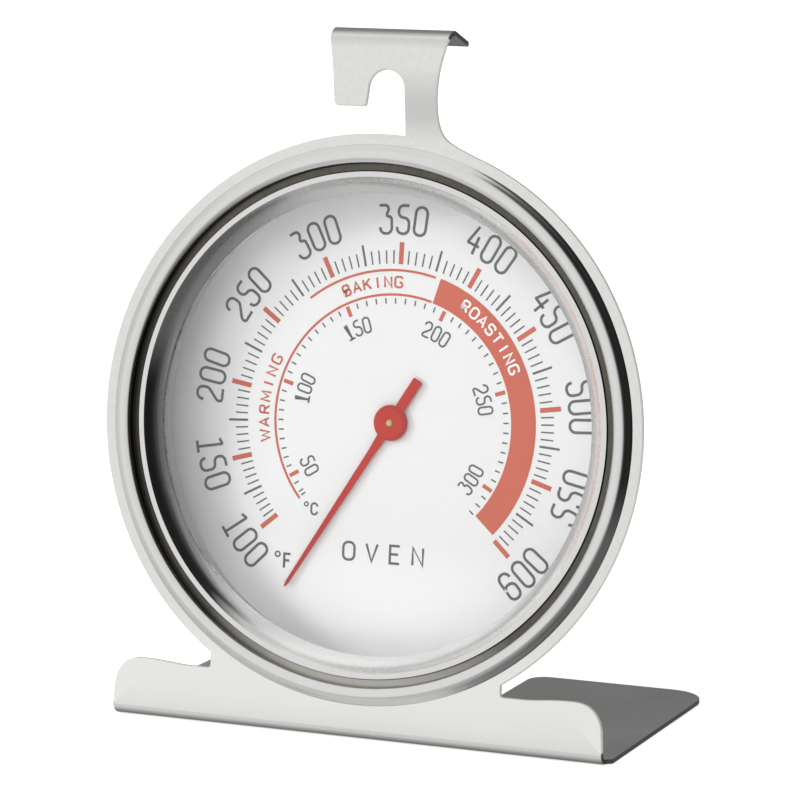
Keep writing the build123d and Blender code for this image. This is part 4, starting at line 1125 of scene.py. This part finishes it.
# ---------------------------------------------------------------------------
# 6. pointer
# ---------------------------------------------------------------------------
pt = radians(POINT_ANGLE)
ux, uz, vx, vz = sin(pt), cos(pt), cos(pt), -sin(pt)
half = [(POINT_TIP, 0.10), (POINT_TIP - 0.9, 0.30), (6.0, 0.62), (1.5, 0.86), (-1.5, 0.86), (-POINT_TAIL, 0.86)]
loop = half + [(-POINT_TAIL, -0.86)] + [(u, -v) for u, v in reversed(half[:-1])]
P = np.array([(ux * u + vx * v, uz * u + vz * v) for u, v in loop])
if area2(P) < 0:
    P = P[::-1].copy()
lp2, ln2 = rounded(P, 0.22, 4)
g = Geo()
slab(g, [(lp2, ln2)], POINT_Y, POINT_Y + POINT_T, rf=0.07, rb=0.05, k=2)
hp, hn = rounded([(0.60, POINT_Y - 0.42), (HUB_R - 0.62, POINT_Y - 0.42), (HUB_R, POINT_Y - 0.02), (HUB_R, POINT_Y + POINT_T),
                  (0.60, POINT_Y + POINT_T)], [0.1, 0.5, 0.2, 0.06, 0.03], 6)
revolve(g, hp, hn, 96)
pointer = g.make("pointer_blade", M_RED)
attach(pointer, "pointer_assembly")
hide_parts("pointer")

# ---------------------------------------------------------------------------
# 7. bimetal coil, drawn as a swept strip
# ---------------------------------------------------------------------------
th0 = -2 * pi * COIL_TURNS
path, wt = [], []
for k in range(5):
    r = 1.55 + (COIL_R0 - 0.15 - 1.55) * k / 4
    path.append((r * cos(th0), r * sin(th0)))
    wt.append(1.0)
n_sp = 760
for i in range(4, n_sp + 1):
    t = i / n_sp
    th = th0 * (1 - t)
    r = COIL_R0 + (COIL_R1 - COIL_R0) * t
    path.append((r * cos(th), r * sin(th)))
    wt.append(1 - t)
tx, tz = (COIL_R1 - COIL_R0) / (2 * pi * COIL_TURNS), COIL_R1
tm = hypot(tx, tz)
for k in range(1, 4):
    path.append((COIL_R1 + tx / tm * 2.3 * k / 3, tz / tm * 2.3 * k / 3))
    wt.append(0.0)
path = np.array(path)
d = unit(np.gradient(path, axis=0))
side = np.stack([d[:, 1], -d[:, 0]], 1)
cp_, cn_ = rounded([(-COIL_T / 2, COIL_Y0), (COIL_T / 2, COIL_Y0), (COIL_T / 2, COIL_Y1), (-COIL_T / 2, COIL_Y1)], 0.06, 2)
q = len(cp_)
v = np.array([(p[0] + s[0] * a, y, p[1] + s[1] * a) for p, s in zip(path, side) for a, y in cp_])
nn = np.array([(s[0] * a, b_, s[1] * a) for s in side for a, b_ in cn_])
f = [(i * q + j, i * q + (j + 1) % q, (i + 1) * q + (j + 1) % q, (i + 1) * q + j) for i in range(len(path) - 1) for j in range(q)]
g = Geo()
g.add(v, nn, f)
for i, sgn in ((0, -1), (len(path) - 1, 1)):
    g.add(v[i * q:(i + 1) * q], np.tile([sgn * d[i][0], 0, sgn * d[i][1]], (q, 1)), [tuple(range(q))])
coil = g.make("bimetal_strip_coil", M_BIMETAL)
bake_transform(coil)
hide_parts("bimetal_coil")


# ---------------------------------------------------------------------------
# 8. small parts kept from the CAD, with smooth turned surfaces and crisp corners
# ---------------------------------------------------------------------------
def crisp(ob, limit=32.0):
    """Smooth normals across shallow edges only. Vertices stay as packed."""
    me = ob.data
    nl, npoly = len(me.loops), len(me.polygons)
    co = np.zeros(len(me.vertices) * 3, np.float32)
    me.vertices.foreach_get("co", co)
    co = co.reshape(-1, 3)
    lv = np.zeros(nl, np.int32)
    me.loops.foreach_get("vertex_index", lv)
    pn, pa = np.zeros(npoly * 3, np.float32), np.zeros(npoly, np.float32)
    me.polygons.foreach_get("normal", pn)
    me.polygons.foreach_get("area", pa)
    pn = pn.reshape(-1, 3)
    start, total = np.zeros(npoly, np.int32), np.zeros(npoly, np.int32)
    me.polygons.foreach_get("loop_start", start)
    me.polygons.foreach_get("loop_total", total)
    lpoly = np.repeat(np.arange(npoly), total)
    _, key = np.unique(np.round(co * 1e6).astype(np.int64), axis=0, return_inverse=True)
    key = key.reshape(-1)[lv]
    order = np.argsort(key, kind="stable")
    out = pn[lpoly].copy()
    ks = key[order]
    cuts = np.flatnonzero(np.diff(ks)) + 1
    lim = cos(radians(limit))
    for grp in np.split(order, cuts):
        n = pn[lpoly[grp]]
        w = pa[lpoly[grp]][:, None]
        near = (n @ n.T) > lim
        s = near @ (n * w)
        out[grp] = s / np.maximum(np.linalg.norm(s, axis=1, keepdims=True), 1e-12)
    me.polygons.foreach_set("use_smooth", [True] * npoly)
    me.normals_split_custom_set(out.tolist())


small = {
    "pointer_hub": M_BRASS, "spindle": M_BRASS, "front_bush": M_BRASS, "coil_collet": M_BRASS, "coil_anchor_post": M_BRASS,
    "rear_bush": M_BRASS, "front_thrust_washer": M_PIN, "rear_thrust_washer": M_PIN, "anchor_pin": M_PIN, "retaining_clip": M_PIN,
    "bridge_rivets": M_PIN, "movement_bridge": M_CUP,
}
for name, mat in small.items():
    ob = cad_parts[name]
    ob.data.materials.clear()
    ob.data.materials.append(mat)
    crisp(ob)

# ---------------------------------------------------------------------------
# camera
# ---------------------------------------------------------------------------
cpos = CPOS
back = np.array([sin(CA) * cos(CE), -cos(CA) * cos(CE), sin(CE)])
right = np.array([cos(CA), sin(CA), 0.0])
up = np.cross(back, right)
c_r = cos(CR) * right - sin(CR) * up
c_u = sin(CR) * right + cos(CR) * up
cam = bpy.data.cameras.new("camera")
cam.sensor_width = 36.0
cam.lens = CF / 800.0 * 36.0
cam.clip_start, cam.clip_end = 0.05, 50
co_ = bpy.data.objects.new("camera", cam)
bpy.context.scene.collection.objects.link(co_)
X, Y, Z, T = WD(c_r), WD(c_u), WD(back), W(cpos) * 0.001
co_.matrix_world = Matrix(((X[0], Y[0], Z[0], T[0]), (X[1], Y[1], Z[1], T[1]), (X[2], Y[2], Z[2], T[2]), (0, 0, 0, 1)))
bpy.context.scene.camera = co_

# ---------------------------------------------------------------------------
# floor, studio surroundings, lamps
# ---------------------------------------------------------------------------
bpy.context.scene.view_settings.view_transform = "Standard"

fm, fnt, fp = material("floor_white")
fp.inputs["Base Color"].default_value = (0.93, 0.93, 0.925, 1)
fp.inputs["Roughness"].default_value = 0.9
fp.inputs["Specular IOR Level"].default_value = 0.0
fp.inputs["Emission Color"].default_value = (1, 1, 1, 1)
fp.inputs["Emission Strength"].default_value = 0.62
me = bpy.data.meshes.new("floor")
zf = -0.00005
me.from_pydata([(-6, -6, zf), (6, -6, zf), (6, 6, zf), (-6, 6, zf)], [], [(0, 1, 2, 3)])
me.materials.append(fm)
floor = bpy.data.objects.new("floor", me)
bpy.context.scene.collection.objects.link(floor)
floor.visible_glossy = False


def studio():
    """Soft studio light: bright boxes to the left, in front and above, dimmer to the right and behind."""
    w = bpy.data.worlds.new("studio")
    bpy.context.scene.world = w
    w.use_nodes = True
    nt = w.node_tree
    nt.nodes.clear()
    out = nt.nodes.new("ShaderNodeOutputWorld")
    tc = nt.nodes.new("ShaderNodeTexCoord")
    bg = nt.nodes.new("ShaderNodeBackground")
    nt.links.new(sky(nt, tc.outputs["Generated"], SOFT), bg.inputs[0])
    cam_bg = nt.nodes.new("ShaderNodeBackground")
    cam_bg.inputs[0].default_value = (1, 1, 1, 1)
    cam_bg.inputs[1].default_value = 1.05
    lp = nt.nodes.new("ShaderNodeLightPath")
    ms = nt.nodes.new("ShaderNodeMixShader")
    nt.links.new(lp.outputs["Is Camera Ray"], ms.inputs[0])
    nt.links.new(bg.outputs[0], ms.inputs[1])
    nt.links.new(cam_bg.outputs[0], ms.inputs[2])
    nt.links.new(ms.outputs[0], out.inputs[0])


studio()


def lamp(name, loc, target, size, power, glossy=False, colour=(1, 1, 1)):
    l = bpy.data.lights.new(name, "AREA")
    l.shape = "DISK"
    l.size = size
    l.energy = power
    l.color = colour
    o = bpy.data.objects.new(name, l)
    bpy.context.scene.collection.objects.link(o)
    o.location = loc
    o.rotation_mode = "QUATERNION"
    o.rotation_quaternion = (Vector(target) - Vector(loc)).to_track_quat("-Z", "Y")
    o.visible_glossy = glossy
    o.visible_camera = False
    return o


lamp("key", (-0.80, -0.62, 0.42), (0, -0.01, 0.05), 0.34, 3.9)
lamp("fill", (0.1, -0.9, 0.75), (0, -0.01, 0.04), 0.6, 2.3)
